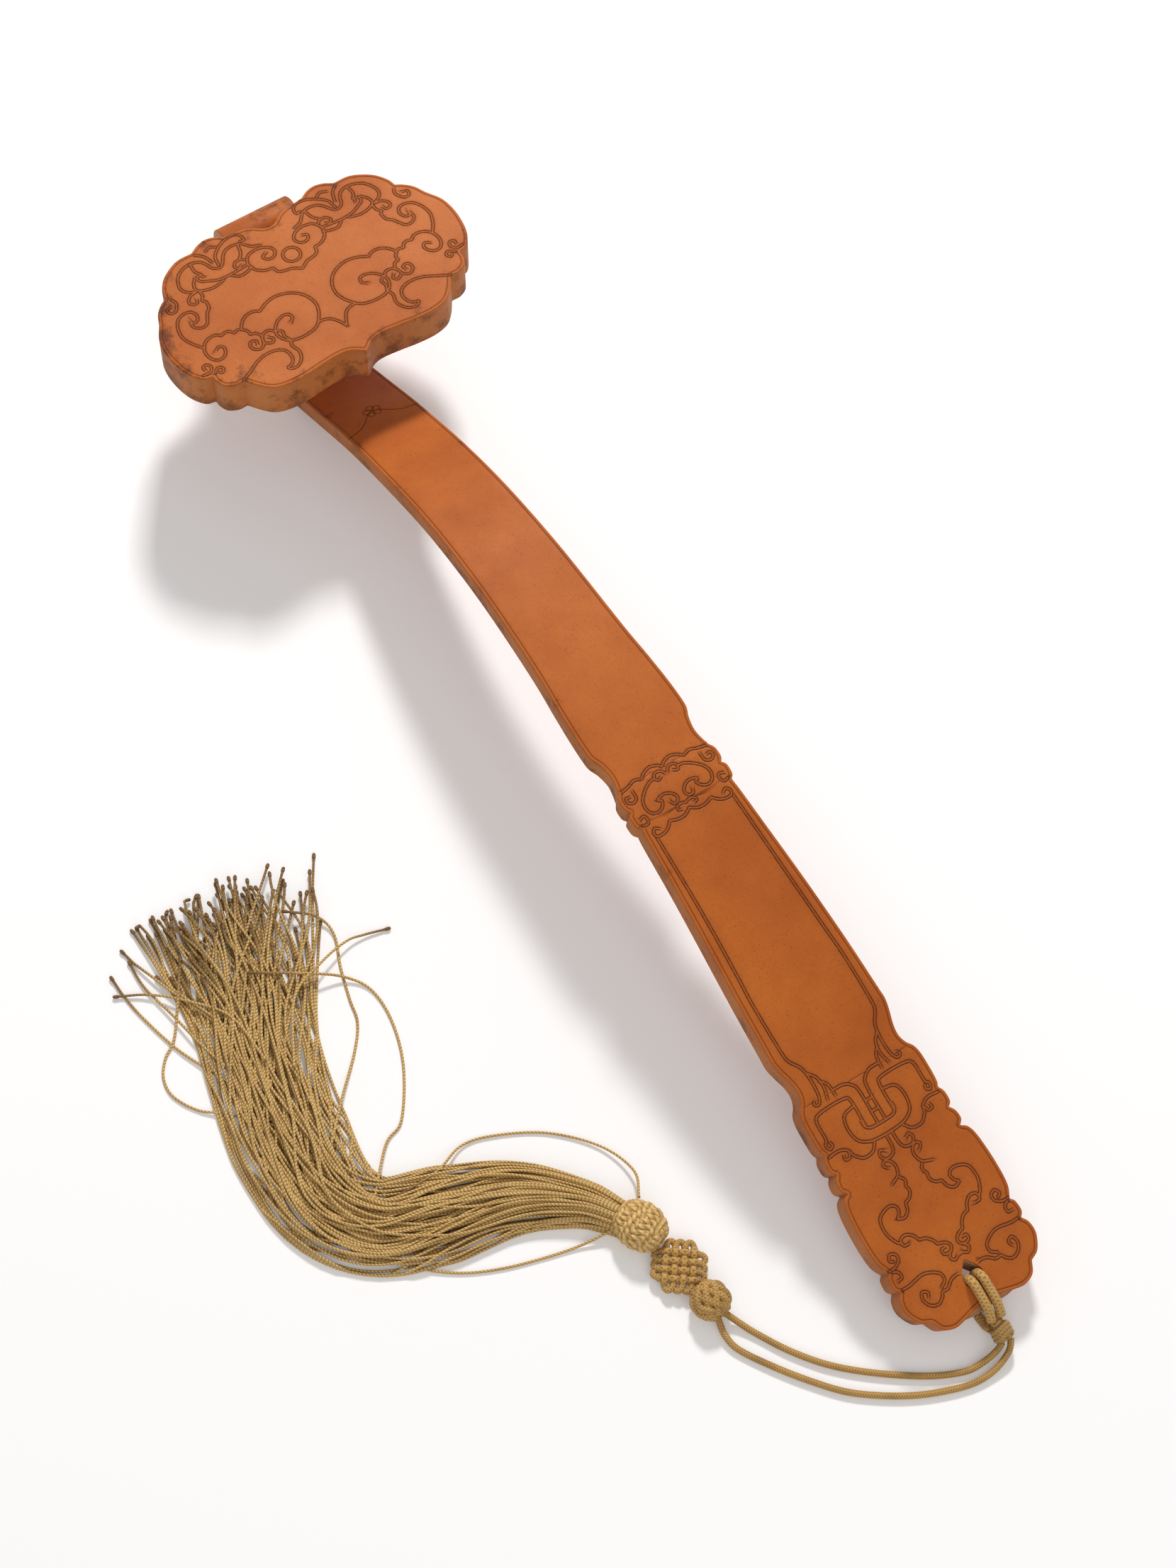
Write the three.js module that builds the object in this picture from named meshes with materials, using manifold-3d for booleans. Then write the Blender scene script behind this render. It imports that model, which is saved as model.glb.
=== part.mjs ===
// A ruyi sceptre in bamboo veneer on a wooden core: a cloud-shaped head on a curled,
// arched shaft with a raised middle band and a lobed foot, and a knotted cord with a tassel.
// Millimetres. X is the width, +Y runs from the foot to the head, +Z is up.
// It stands on the cord loop under its foot and on the underside of the curl.
import * as THREE from "three";
import { mergeVertices } from "three/addons/utils/BufferGeometryUtils.js";
import Module from "manifold-3d";

// Driving dimensions
const GAP = 0.3; // glue line between neighbouring pieces
const VENEER = 1.2; // bamboo veneer thickness
const SHAFT_THICK = 6.5; // shaft thickness at the neck and in the curl
const FOOT_THICK = 9; // shaft thickness at the foot
const TAPER_START = 70; // Y where the foot's thickness begins to fall
const TAPER_END = 330; // Y where the neck's thickness is reached
const CURL_RADIUS = 33.2; // outside radius of the curl behind the head
const CURL_CENTRE_Y = 377.5;
const CURL_FLAT = 3; // half-angle of the small flat that the curl stands on
const CURL_END_ANGLE = 9.7; // degrees above level where the curl meets the roll
const ROLL_RADIUS = 7; // roll that ends the curl
const ROLL_Y = 403.7;
const ROLL_Z = 38.8;
const ROLL_LENGTH = 26;
const ROLL_CAP = 0.9; // end-grain disc at each end of the roll
const HEAD_THICK = 13;
const HEAD_TILT = 6.1; // degrees that the head's face falls towards its top
const HEAD_Y = 371.6; // reference point of the head's face
const HEAD_Z = 53.8;
const BAND_RISE = 0.5; // the middle band stands this much above the shaft
const SLOT_HALF = 3.4; // half-width of the drop-shaped cord hole
const SLOT_FRONT_Y = 1.8; // end of the hole next to the foot's tip
const SLOT_BACK_Y = 10.6; // its pointed end
const FOOT_END_Y = -4.2;
const SHOULDER_Y = 68.8; // where the foot plaque meets the lower shaft
const BAND_START_Y = 161;
const BAND_END_Y = 173.4;
const LOOP_DIAMETER = 2.6; // cord of the loop through the foot
const LOOP_SPREAD = 1.7; // sideways distance of each loop strand from the middle
const LEG_DIAMETER = 2;
const BUTTON_DIAMETER = 11.5;
const BROCADE_SIZE = 15;
const BROCADE_THICK = 4.6;
const TASSEL_HEAD_DIAMETER = 11;
const SKIRT_THICK = 9;

// Half-widths along the top face from the foot's tip, as [Y, half-width]
const OUTLINE = [
  [-4.2, 8], [-4, 13], [-2.8, 16], [0.4, 17.9], [2.1, 21], [6.2, 23.2], [9.8, 23],
  [11.9, 21.6], [13.5, 22.8], [16.6, 22.6], [18, 21.5], [21.8, 23.2], [29.1, 23.6],
  [37.3, 23.1], [41, 22], [42.5, 20.1], [44.1, 21.4], [46.7, 21.2], [48.5, 20],
  [49.8, 21.2], [52.9, 21.2], [54.7, 20.2], [57.1, 20.9], [64.3, 20.9], [67.8, 20.2],
  [70, 18.6], [72.7, 17.7], [75.9, 18], [80, 19.2], [83.3, 19.9], [87.5, 19.8],
  [104, 19.2], [125.5, 18], [142, 17], [155.4, 16.3], [160, 15.9], [161.5, 17],
  [164.6, 17.1], [166, 16.1], [167.6, 17], [170.7, 17], [172.7, 15.9], [175.7, 15.2],
  [178.7, 14.9], [182.7, 15.6], [185.7, 16.8], [188.6, 17.1], [195.6, 17], [205.8, 16.4],
  [218, 15.5], [236, 14.8], [258, 14.2], [282.5, 13.7], [304.7, 13.4], [328.7, 12.9],
  [345, 12.7], [360, 12.6], [372, 12.6],
];
// Height of the top face along the shaft, as [Y, Z]
const TOP_LINE = [
  [-20, 6.4], [0, 12.8], [17.6, 18.4], [48.2, 26.9], [67.2, 32.8], [88, 38.9], [126, 47.8],
  [159, 53.2], [172.3, 54.7], [203.1, 56.3], [236.3, 56.4], [258.4, 54.6], [282.3, 49.6],
  [304.4, 41.6], [328.9, 30.2], [350, 18.2], [364, 10.4], [372, 7.2], [377.5, 6.5], [384, 6.5],
];
// Right half of the head's outline, from the bottom cusp to the saddle, as [X, V]
const HEAD_OUTLINE = [
  [0, -33], [4, -30.2], [8, -29.5], [14, -30], [20, -30.7], [26, -30.8], [31, -29.5],
  [34.4, -26.4], [37.3, -22.3], [40.5, -22.2], [43.4, -20.6], [44.6, -18], [44.8, -15.7],
  [48, -14.6], [51, -9.6], [52.3, -2], [51.6, 5], [48.5, 10.8], [46.7, 14.6], [44.2, 17.2],
  [42, 18.6], [41.3, 21.4], [38.8, 25.2], [35, 28.1], [31, 29.7], [26, 29.8], [23, 31.5],
  [20, 32.2], [17, 31.6], [14.4, 30.1], [11.5, 29.6], [8, 29.3], [5, 28.1], [2, 26],
];
const HEAD_SADDLE_V = 25.5;

const wasm = await Module();
wasm.setup();

const rad = THREE.MathUtils.degToRad;
const material = (color, roughness, metalness = 0) =>
  new THREE.MeshStandardMaterial({ color, roughness, metalness });
const bambooFace = material("#b9652f", 0.4);
const bambooEdge = material("#a95526", 0.5);
const bambooBack = material("#b06a38", 0.55);
const coreWood = material("#a9794b", 0.7);
const endGrain = material("#b98a66", 0.6);
const silkCord = material("#a07c3c", 0.8);
const silkTassel = material("#a88545", 0.8);

const sceptre = new THREE.Group();
sceptre.name = "ruyi_sceptre";
const freeCord = new THREE.Group(); // the cord past the loop, its knots and the tassel
sceptre.add(freeCord);

function addPiece(name, geometry, finish, parent = sceptre) {
  const mesh = new THREE.Mesh(geometry, finish);
  mesh.name = name;
  parent.add(mesh);
  return mesh;
}

// A geometry as a solid for joining and cutting
function toSolid(geometry) {
  const bare = geometry.clone();
  bare.deleteAttribute("normal");
  bare.deleteAttribute("uv");
  const merged = mergeVertices(bare, 1e-4);
  return new wasm.Manifold(
    new wasm.Mesh({
      numProp: 3,
      vertProperties: merged.attributes.position.array,
      triVerts: new Uint32Array(merged.index.array),
    }),
  );
}

function toGeometry(solid) {
  const mesh = solid.getMesh();
  const geometry = new THREE.BufferGeometry();
  geometry.setAttribute("position", new THREE.BufferAttribute(mesh.vertProperties, 3));
  geometry.setIndex(new THREE.BufferAttribute(mesh.triVerts, 1));
  geometry.computeVertexNormals();
  return geometry;
}

const cut = (geometry, ...tools) =>
  toGeometry(tools.reduce((left, tool) => left.subtract(tool), toSolid(geometry)));

// Value of a [place, value] list at a place, straight between its points
function along(list, place) {
  if (place <= list[0][0]) return list[0][1];
  for (let i = 1; i < list.length; i++)
    if (place <= list[i][0]) {
      const share = (place - list[i - 1][0]) / (list[i][0] - list[i - 1][0]);
      return THREE.MathUtils.lerp(list[i - 1][1], list[i][1], share);
    }
  return list.at(-1)[1];
}

// The top line as a smooth curve, read off at a given Y
const topCurve = new THREE.CatmullRomCurve3(
  TOP_LINE.map(([y, z]) => new THREE.Vector3(0, y, z)),
  false,
  "centripetal",
).getPoints(600).map((p) => [p.y, p.z]);

function thicknessAt(y) {
  const share = THREE.MathUtils.clamp((y - TAPER_START) / (TAPER_END - TAPER_START), 0, 1);
  return THREE.MathUtils.lerp(FOOT_THICK, SHAFT_THICK, share);
}

// One cross-section of the shaft: its top point, the direction into the wood, and its sizes
function station(y) {
  const step = 0.8;
  const slope = (along(topCurve, y + step) - along(topCurve, y - step)) / (2 * step);
  const down = new THREE.Vector3(0, slope, -1).normalize();
  return {
    top: new THREE.Vector3(0, y, along(topCurve, y)),
    down,
    half: along(OUTLINE, y),
    thick: thicknessAt(y),
  };
}

// A cross-section of the curl; the two at its lowest point reach down to a flat facet
function curlStation(angle) {
  const onFlat = Math.abs(angle + 90) <= CURL_FLAT;
  const out = new THREE.Vector3(0, Math.cos(rad(angle)), Math.sin(rad(angle)));
  return {
    top: new THREE.Vector3(0, CURL_CENTRE_Y, CURL_RADIUS)
      .addScaledVector(out, CURL_RADIUS - SHAFT_THICK),
    down: out,
    half: OUTLINE.at(-1)[1],
    thick: SHAFT_THICK + (onFlat ? CURL_RADIUS * (1 / Math.cos(rad(CURL_FLAT)) - 1) : 0),
  };
}

// Cross-sections between two places; the curl's are added when the stretch reaches it
function stations(startY, endY, withCurl) {
  const places = OUTLINE.map(([y]) => y).filter((y) => y > startY + 0.2 && y < endY - 0.2);
  const all = [startY, ...places, endY].map(station);
  if (withCurl)
    for (const angle of [-90 - CURL_FLAT, -90 + CURL_FLAT, -75, -63, -51, -39, -27, -15, -4, CURL_END_ANGLE])
      all.push(curlStation(angle));
  return all;
}

// A closed strip through the cross-sections, between two sideways and two depth limits
function strip(sections, sideways, depth) {
  const points = [];
  for (const s of sections) {
    const [left, right] = sideways(s);
    const [upper, lower] = depth(s);
    for (const [x, d] of [[left, upper], [right, upper], [right, lower], [left, lower]])
      points.push(s.top.clone().addScaledVector(s.down, d).setX(x));
  }
  const index = [];
  for (let i = 0; i < sections.length - 1; i++)
    for (let k = 0; k < 4; k++) {
      const a = 4 * i + k;
      const b = 4 * i + ((k + 1) % 4);
      index.push(a, b, a + 4, b, b + 4, a + 4);
    }
  const last = 4 * (sections.length - 1);
  index.push(0, 2, 1, 0, 3, 2, last, last + 1, last + 2, last, last + 2, last + 3);
  const geometry = new THREE.BufferGeometry().setFromPoints(points);
  geometry.setIndex(index);
  return geometry;
}

// Cutters: the drop-shaped hole in the foot, and the room for the roll
function slotCutter() {
  const shape = new THREE.Shape();
  const middle = SLOT_FRONT_Y + SLOT_HALF;
  shape.absarc(0, middle, SLOT_HALF, Math.PI, 2 * Math.PI, false);
  shape.quadraticCurveTo(SLOT_HALF, middle + 2, 0, SLOT_BACK_Y);
  shape.quadraticCurveTo(-SLOT_HALF, middle + 2, -SLOT_HALF, middle);
  const geometry = new THREE.ExtrudeGeometry(shape, {
    depth: 4 * FOOT_THICK, bevelEnabled: false, curveSegments: 6,
  });
  geometry.translate(0, 0, -FOOT_THICK);
  return toSolid(geometry);
}

function rollCutter() {
  const geometry = new THREE.CylinderGeometry(
    ROLL_RADIUS + GAP, ROLL_RADIUS + GAP, ROLL_LENGTH + 2 * GAP, 32,
  );
  geometry.rotateZ(Math.PI / 2);
  geometry.translate(0, ROLL_Y, ROLL_Z);
  return toSolid(geometry);
}

const slot = slotCutter();
const rollRoom = rollCutter();
const skin = VENEER + GAP;

// Shaft core and its veneers
function buildShaft() {
  const inside = (s) => [-(s.half - skin), s.half - skin];
  const whole = stations(FOOT_END_Y, 372, true);
  const core = strip(whole, inside, (s) => [skin, s.thick - skin]);
  addPiece("shaft_core", cut(core, slot, rollRoom), coreWood);
  const back = strip(whole, (s) => [-s.half, s.half], (s) => [s.thick - VENEER, s.thick]);
  addPiece("shaft_back_veneer", cut(back, slot, rollRoom), bambooBack);
  for (const [side, sign] of [["left", -1], ["right", 1]]) {
    const wall = (s) => (sign < 0 ? [-s.half, -s.half + VENEER] : [s.half - VENEER, s.half]);
    const edge = strip(whole, wall, (s) => [0, s.thick - skin]);
    addPiece("shaft_edge_veneer_" + side, cut(edge, rollRoom), bambooEdge);
  }
  const face = (s) => [0, VENEER];
  const foot = strip(stations(FOOT_END_Y, SHOULDER_Y, false), inside, face);
  addPiece("foot_face_plaque", cut(foot, slot), bambooFace);
  const lower = strip(stations(SHOULDER_Y + GAP, BAND_START_Y - GAP, false), inside, face);
  addPiece("shaft_face_veneer_lower", lower, bambooFace);
  const band = strip(
    stations(BAND_START_Y, BAND_END_Y, false), inside, (s) => [-BAND_RISE, VENEER],
  );
  addPiece("middle_band_plaque", band, bambooFace);
  const upper = strip(stations(BAND_END_Y + GAP, 372, true), inside, face);
  addPiece("shaft_face_veneer_upper", cut(upper, rollRoom), bambooFace);
}

// The roll behind the head
function buildRoll() {
  const roll = new THREE.Group();
  roll.position.set(0, ROLL_Y, ROLL_Z);
  sceptre.add(roll);
  const veneerLength = ROLL_LENGTH - 2 * (ROLL_CAP + GAP);
  const coreShape = new THREE.CylinderGeometry(
    ROLL_RADIUS - skin, ROLL_RADIUS - skin, veneerLength, 24,
  );
  addPiece("roll_core", coreShape.rotateZ(Math.PI / 2), coreWood, roll);
  const ring = new THREE.LatheGeometry(
    [
      [ROLL_RADIUS - VENEER, -veneerLength / 2], [ROLL_RADIUS, -veneerLength / 2],
      [ROLL_RADIUS, veneerLength / 2], [ROLL_RADIUS - VENEER, veneerLength / 2],
      [ROLL_RADIUS - VENEER, -veneerLength / 2],
    ].map(([x, y]) => new THREE.Vector2(x, y)),
    32,
  );
  addPiece("roll_veneer", ring.rotateZ(Math.PI / 2), bambooFace, roll);
  for (const [side, sign] of [["left", -1], ["right", 1]]) {
    const cap = new THREE.CylinderGeometry(ROLL_RADIUS, ROLL_RADIUS, ROLL_CAP, 32);
    cap.rotateZ(Math.PI / 2);
    cap.translate(sign * (ROLL_LENGTH - ROLL_CAP) / 2, 0, 0);
    addPiece("roll_end_cap_" + side, cap, endGrain, roll);
  }
}

// The head's whole outline, anticlockwise, moved inwards by an inset
function headOutline(inset) {
  const right = HEAD_OUTLINE.map(([x, v]) => new THREE.Vector2(x, v));
  const left = right.slice(1).reverse().map((p) => new THREE.Vector2(-p.x, p.y));
  const loop = [...right, new THREE.Vector2(0, HEAD_SADDLE_V), ...left];
  return loop.map((p, i) => {
    const before = loop[(i + loop.length - 1) % loop.length];
    const after = loop[(i + 1) % loop.length];
    const run = after.clone().sub(before).normalize();
    return new THREE.Vector2(p.x - run.y * inset, p.y + run.x * inset);
  });
}

function plate(points, top, bottom) {
  const geometry = new THREE.ExtrudeGeometry(new THREE.Shape(points), {
    depth: top - bottom, bevelEnabled: false,
  });
  return geometry.translate(0, 0, bottom);
}

// Head pieces are made in the head's own plane and then tilted into place
function buildHead() {
  const place = new THREE.Matrix4()
    .makeRotationX(-rad(HEAD_TILT))
    .setPosition(0, HEAD_Y, HEAD_Z);
  const placed = (geometry) => cut(geometry.applyMatrix4(place), rollRoom);
  const outer = headOutline(0);
  const lower = -HEAD_THICK + skin;
  addPiece("head_face_veneer", placed(plate(outer, 0, -VENEER)), bambooFace);
  addPiece("head_core", placed(plate(headOutline(skin), -skin, lower)), coreWood);
  addPiece(
    "head_back_veneer", placed(plate(outer, -HEAD_THICK + VENEER, -HEAD_THICK)), bambooBack,
  );
  const inner = headOutline(VENEER);
  const half = HEAD_OUTLINE.length; // index of the saddle point
  const outerRight = outer.slice(0, half + 1);
  const innerRight = inner.slice(0, half + 1);
  for (const p of [outerRight[0], outerRight.at(-1), innerRight[0], innerRight.at(-1)])
    p.setX(GAP / 2);
  for (const [side, sign] of [["left", -1], ["right", 1]]) {
    const loop = [...outerRight, ...innerRight.slice().reverse()]
      .map((p) => new THREE.Vector2(sign * p.x, p.y));
    addPiece("head_edge_veneer_" + side, placed(plate(loop, -skin, lower)), bambooEdge);
  }
}

// A cord along hand-picked points
function cordTube(route, diameter, steps, sides = 8) {
  const section = new THREE.Shape();
  for (let i = 0; i < sides; i++) {
    const turn = (2 * Math.PI * i) / sides;
    const x = (diameter / 2) * Math.cos(turn);
    const y = (diameter / 2) * Math.sin(turn);
    if (i) section.lineTo(x, y);
    else section.moveTo(x, y);
  }
  return new THREE.ExtrudeGeometry(section, {
    steps,
    extrudePath: new THREE.CatmullRomCurve3(route.map((p) => new THREE.Vector3(...p))),
  });
}

// Loop through the hole in the foot, and the wrap that gathers it just past the tip
function buildLoop() {
  const r = LOOP_DIAMETER / 2;
  const route = [
    [-7.4, 9.4], [-5.9, 11.6], [-3.4, 13.7], [0.2, 15], [3.2, 15.7], [5.4, 14], [6.2, 10.6],
    [5.9, 6], [4.3, 2.6], [1.2, r + 0.15], [-3.2, r + 0.15], [-6.4, 2], [-8, 3.6],
  ];
  for (const [side, sign] of [["left", -1], ["right", 1]])
    addPiece(
      "cord_loop_" + side,
      cordTube(route.map(([y, z]) => [sign * LOOP_SPREAD, y, z]), LOOP_DIAMETER, 24),
      silkCord,
    );
  const wrap = new THREE.SphereGeometry(3.4, 12, 8);
  addPiece("cord_wrap", wrap.scale(1, 0.7, 0.95).translate(0, -11, 5.8), silkCord, freeCord);
}

// Two legs of the cord, on the surface from the wrap to the button knot
const LEG_LEFT = [
  [-1.4, -13.6, 4.8], [-4, -14.6, 3.4], [-9, -15, 1.8], [-15, -14.2, 1.1], [-25, -9.4, 1.1],
  [-37.5, -0.4, 1.1], [-46.9, 8.2, 1.1], [-54.1, 17.6, 1.1], [-59.4, 27, 1.1], [-61.6, 32, 1.6],
  [-63.2, 35.2, 2.6],
];
const LEG_RIGHT = [
  [1.6, -13.8, 4.8], [-1, -16.6, 3.2], [-7, -18.6, 1.6], [-14, -18.6, 1.1], [-21.8, -16.4, 1.1],
  [-30.6, -12.6, 1.1], [-39.4, -7.2, 1.1], [-47.4, -0.8, 1.1], [-54.4, 7.4, 1.1], [-60.6, 16, 1.1],
  [-66.4, 25.6, 1.1], [-67.4, 31, 1.8], [-66.7, 35, 2.6],
];

// Knots and tassel along the line from the button knot to the skirt
const SKIRT_LINE = [
  [-71, 75.6], [-80.4, 90], [-97, 102], [-118.2, 107], [-136, 113.5], [-143.5, 127],
  [-143.6, 147.2], [-138, 172], [-131, 197], [-124, 216],
];
const SKIRT_WIDTH = [9, 19, 26, 27, 30, 33, 34, 40, 47, 44];

function buildCordEnd() {
  addPiece("cord_leg_left", cordTube(LEG_LEFT, LEG_DIAMETER, 36), silkCord, freeCord);
  addPiece("cord_leg_right", cordTube(LEG_RIGHT, LEG_DIAMETER, 40), silkCord, freeCord);
  const button = new THREE.SphereGeometry(BUTTON_DIAMETER / 2, 16, 10);
  button.scale(1, 1, 0.8).translate(-66.1, 41.4, 0.4 * BUTTON_DIAMETER);
  addPiece("button_knot", button, silkCord, freeCord);
  const half = BROCADE_SIZE / 2;
  const corners = [[half, 0], [half, half], [0, half + 1], [-half, half],
    [-half, 0], [-half, -half], [0, -half], [half, -half]];
  const outline = corners.map(([x, y]) => new THREE.Vector2(x, y));
  const brocade = plate(outline, BROCADE_THICK, 0.4).rotateZ(rad(8));
  addPiece("brocade_knot", brocade.translate(-67.7, 55.4, 0), silkCord, freeCord);
  const ball = new THREE.SphereGeometry(TASSEL_HEAD_DIAMETER / 2, 16, 10);
  ball.scale(1, 0.9, 0.84).translate(-69.6, 69.4, 0.42 * TASSEL_HEAD_DIAMETER);
  addPiece("tassel_head", ball, silkCord, freeCord);
  addPiece("tassel_skirt", skirt(), silkTassel, freeCord);
}

// The skirt of strands as one flattened bundle on the surface
function skirt() {
  const line = new THREE.CatmullRomCurve3(SKIRT_LINE.map(([x, y]) => new THREE.Vector3(x, y, 0)));
  const rings = 27;
  const sides = 10;
  const points = [];
  for (let i = 0; i < rings; i++) {
    const share = i / (rings - 1);
    const centre = line.getPoint(share);
    const run = line.getTangent(share);
    const at = share * (SKIRT_WIDTH.length - 1);
    const width = along(SKIRT_WIDTH.map((w, k) => [k, w]), at);
    const height = SKIRT_THICK * (i === 0 ? 0.85 : 1 - 0.4 * share);
    for (let k = 0; k < sides; k++) {
      const turn = (2 * Math.PI * k) / sides;
      const out = (width / 2) * Math.cos(turn);
      const z = height * (0.5 + 0.5 * Math.sin(turn)) + 0.2;
      points.push(new THREE.Vector3(centre.x + run.y * out, centre.y - run.x * out, z));
    }
  }
  const index = [];
  for (let i = 0; i < rings - 1; i++)
    for (let k = 0; k < sides; k++) {
      const a = sides * i + k;
      const b = sides * i + ((k + 1) % sides);
      index.push(a, a + sides, b, b, a + sides, b + sides);
    }
  const last = sides * (rings - 1);
  for (let k = 1; k < sides - 1; k++)
    index.push(0, k, k + 1, last, last + k + 1, last + k);
  const geometry = new THREE.BufferGeometry().setFromPoints(points);
  geometry.setIndex(index);
  return geometry;
}

buildShaft();
buildRoll();
buildHead();
buildLoop();
buildCordEnd();

// The origin is the middle of the sceptre's own underside, measured without the free cord
const ownBox = new THREE.Box3();
for (const piece of sceptre.children)
  if (piece !== freeCord) ownBox.expandByObject(piece, true);
sceptre.position.set(0, -(ownBox.min.y + ownBox.max.y) / 2, -ownBox.min.z);

export default sceptre;
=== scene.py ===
import bpy
import bmesh
import math
import random
import numpy as np
from mathutils import Vector, Matrix
from mathutils.geometry import delaunay_2d_cdt
from mathutils.kdtree import KDTree


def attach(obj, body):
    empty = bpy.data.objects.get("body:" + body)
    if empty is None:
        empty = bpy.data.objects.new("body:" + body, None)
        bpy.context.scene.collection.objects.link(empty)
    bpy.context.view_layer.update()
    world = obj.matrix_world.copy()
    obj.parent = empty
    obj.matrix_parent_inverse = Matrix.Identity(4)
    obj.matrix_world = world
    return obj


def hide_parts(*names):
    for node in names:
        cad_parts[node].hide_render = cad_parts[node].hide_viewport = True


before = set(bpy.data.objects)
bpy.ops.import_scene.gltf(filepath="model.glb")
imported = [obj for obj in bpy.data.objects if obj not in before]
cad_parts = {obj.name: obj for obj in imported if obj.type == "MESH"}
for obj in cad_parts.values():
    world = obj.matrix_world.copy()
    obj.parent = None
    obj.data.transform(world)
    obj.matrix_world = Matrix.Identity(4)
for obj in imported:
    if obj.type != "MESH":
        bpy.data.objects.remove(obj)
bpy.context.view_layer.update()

# A ruyi sceptre in carved bamboo veneer with a silk cord and tassel, in metres, CAD frame.
mm = 0.001
random.seed(7)


def toLinear(hexColour):
    parts = [int(hexColour[i:i + 2], 16) / 255 for i in (1, 3, 5)]
    return [c / 12.92 if c <= 0.04045 else ((c + 0.055) / 1.055) ** 2.4 for c in parts] + [1]


def deselectAll():
    if bpy.context.object and bpy.context.object.mode != "OBJECT":
        bpy.ops.object.mode_set(mode="OBJECT")
    bpy.ops.object.select_all(action="DESELECT")


def makePiece(name, points, faces, smooth=True):
    mesh = bpy.data.meshes.new(name)
    mesh.from_pydata([tuple(p) for p in points], [], faces)
    mesh.validate()
    mesh.update()
    piece = bpy.data.objects.new(name, mesh)
    bpy.context.collection.objects.link(piece)
    if smooth:
        mesh.polygons.foreach_set("use_smooth", [True] * len(mesh.polygons))
    return piece


# The view: an 85 mm lens from above and in front of the foot's left side
view = {"place": (-0.3255, -0.3838, 1.028), "turn": (25.735, -3.335, -33.045), "lens": 85}


def placeCamera():
    data = bpy.data.cameras.new("camera")
    data.sensor_fit = "VERTICAL"
    data.sensor_height = 36
    data.sensor_width = 27
    data.lens = view["lens"]
    camera = bpy.data.objects.new("camera", data)
    camera.location = view["place"]
    camera.rotation_euler = [math.radians(a) for a in view["turn"]]
    bpy.context.collection.objects.link(camera)
    bpy.context.scene.camera = camera


placeCamera()
print("camera placed")


# Materials
def addNode(tree, kind, settings=None, links=None):
    node = tree.nodes.new(kind)
    for key, value in (settings or {}).items():
        if key in node.inputs:
            node.inputs[key].default_value = value
        else:
            setattr(node, key, value)
    for key, source in (links or {}).items():
        tree.links.new(source, node.inputs[key])
    return node


def newMaterial(name):
    material = bpy.data.materials.new(name)
    material.use_nodes = True
    tree = material.node_tree
    tree.nodes.clear()
    return material, tree


def finishMaterial(tree, shader):
    addNode(tree, "ShaderNodeOutputMaterial", links={"Surface": shader.outputs["BSDF"]})


def mixColours(tree, factor, first, second, blend="MIX"):
    node = addNode(tree, "ShaderNodeMix", {"data_type": "RGBA", "blend_type": blend})
    for index, value in ((0, factor), (6, first), (7, second)):
        if isinstance(value, (int, float)):
            node.inputs[index].default_value = value
        elif isinstance(value, list):
            node.inputs[index].default_value = value
        else:
            tree.links.new(value, node.inputs[index])
    return node.outputs[2]


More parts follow.
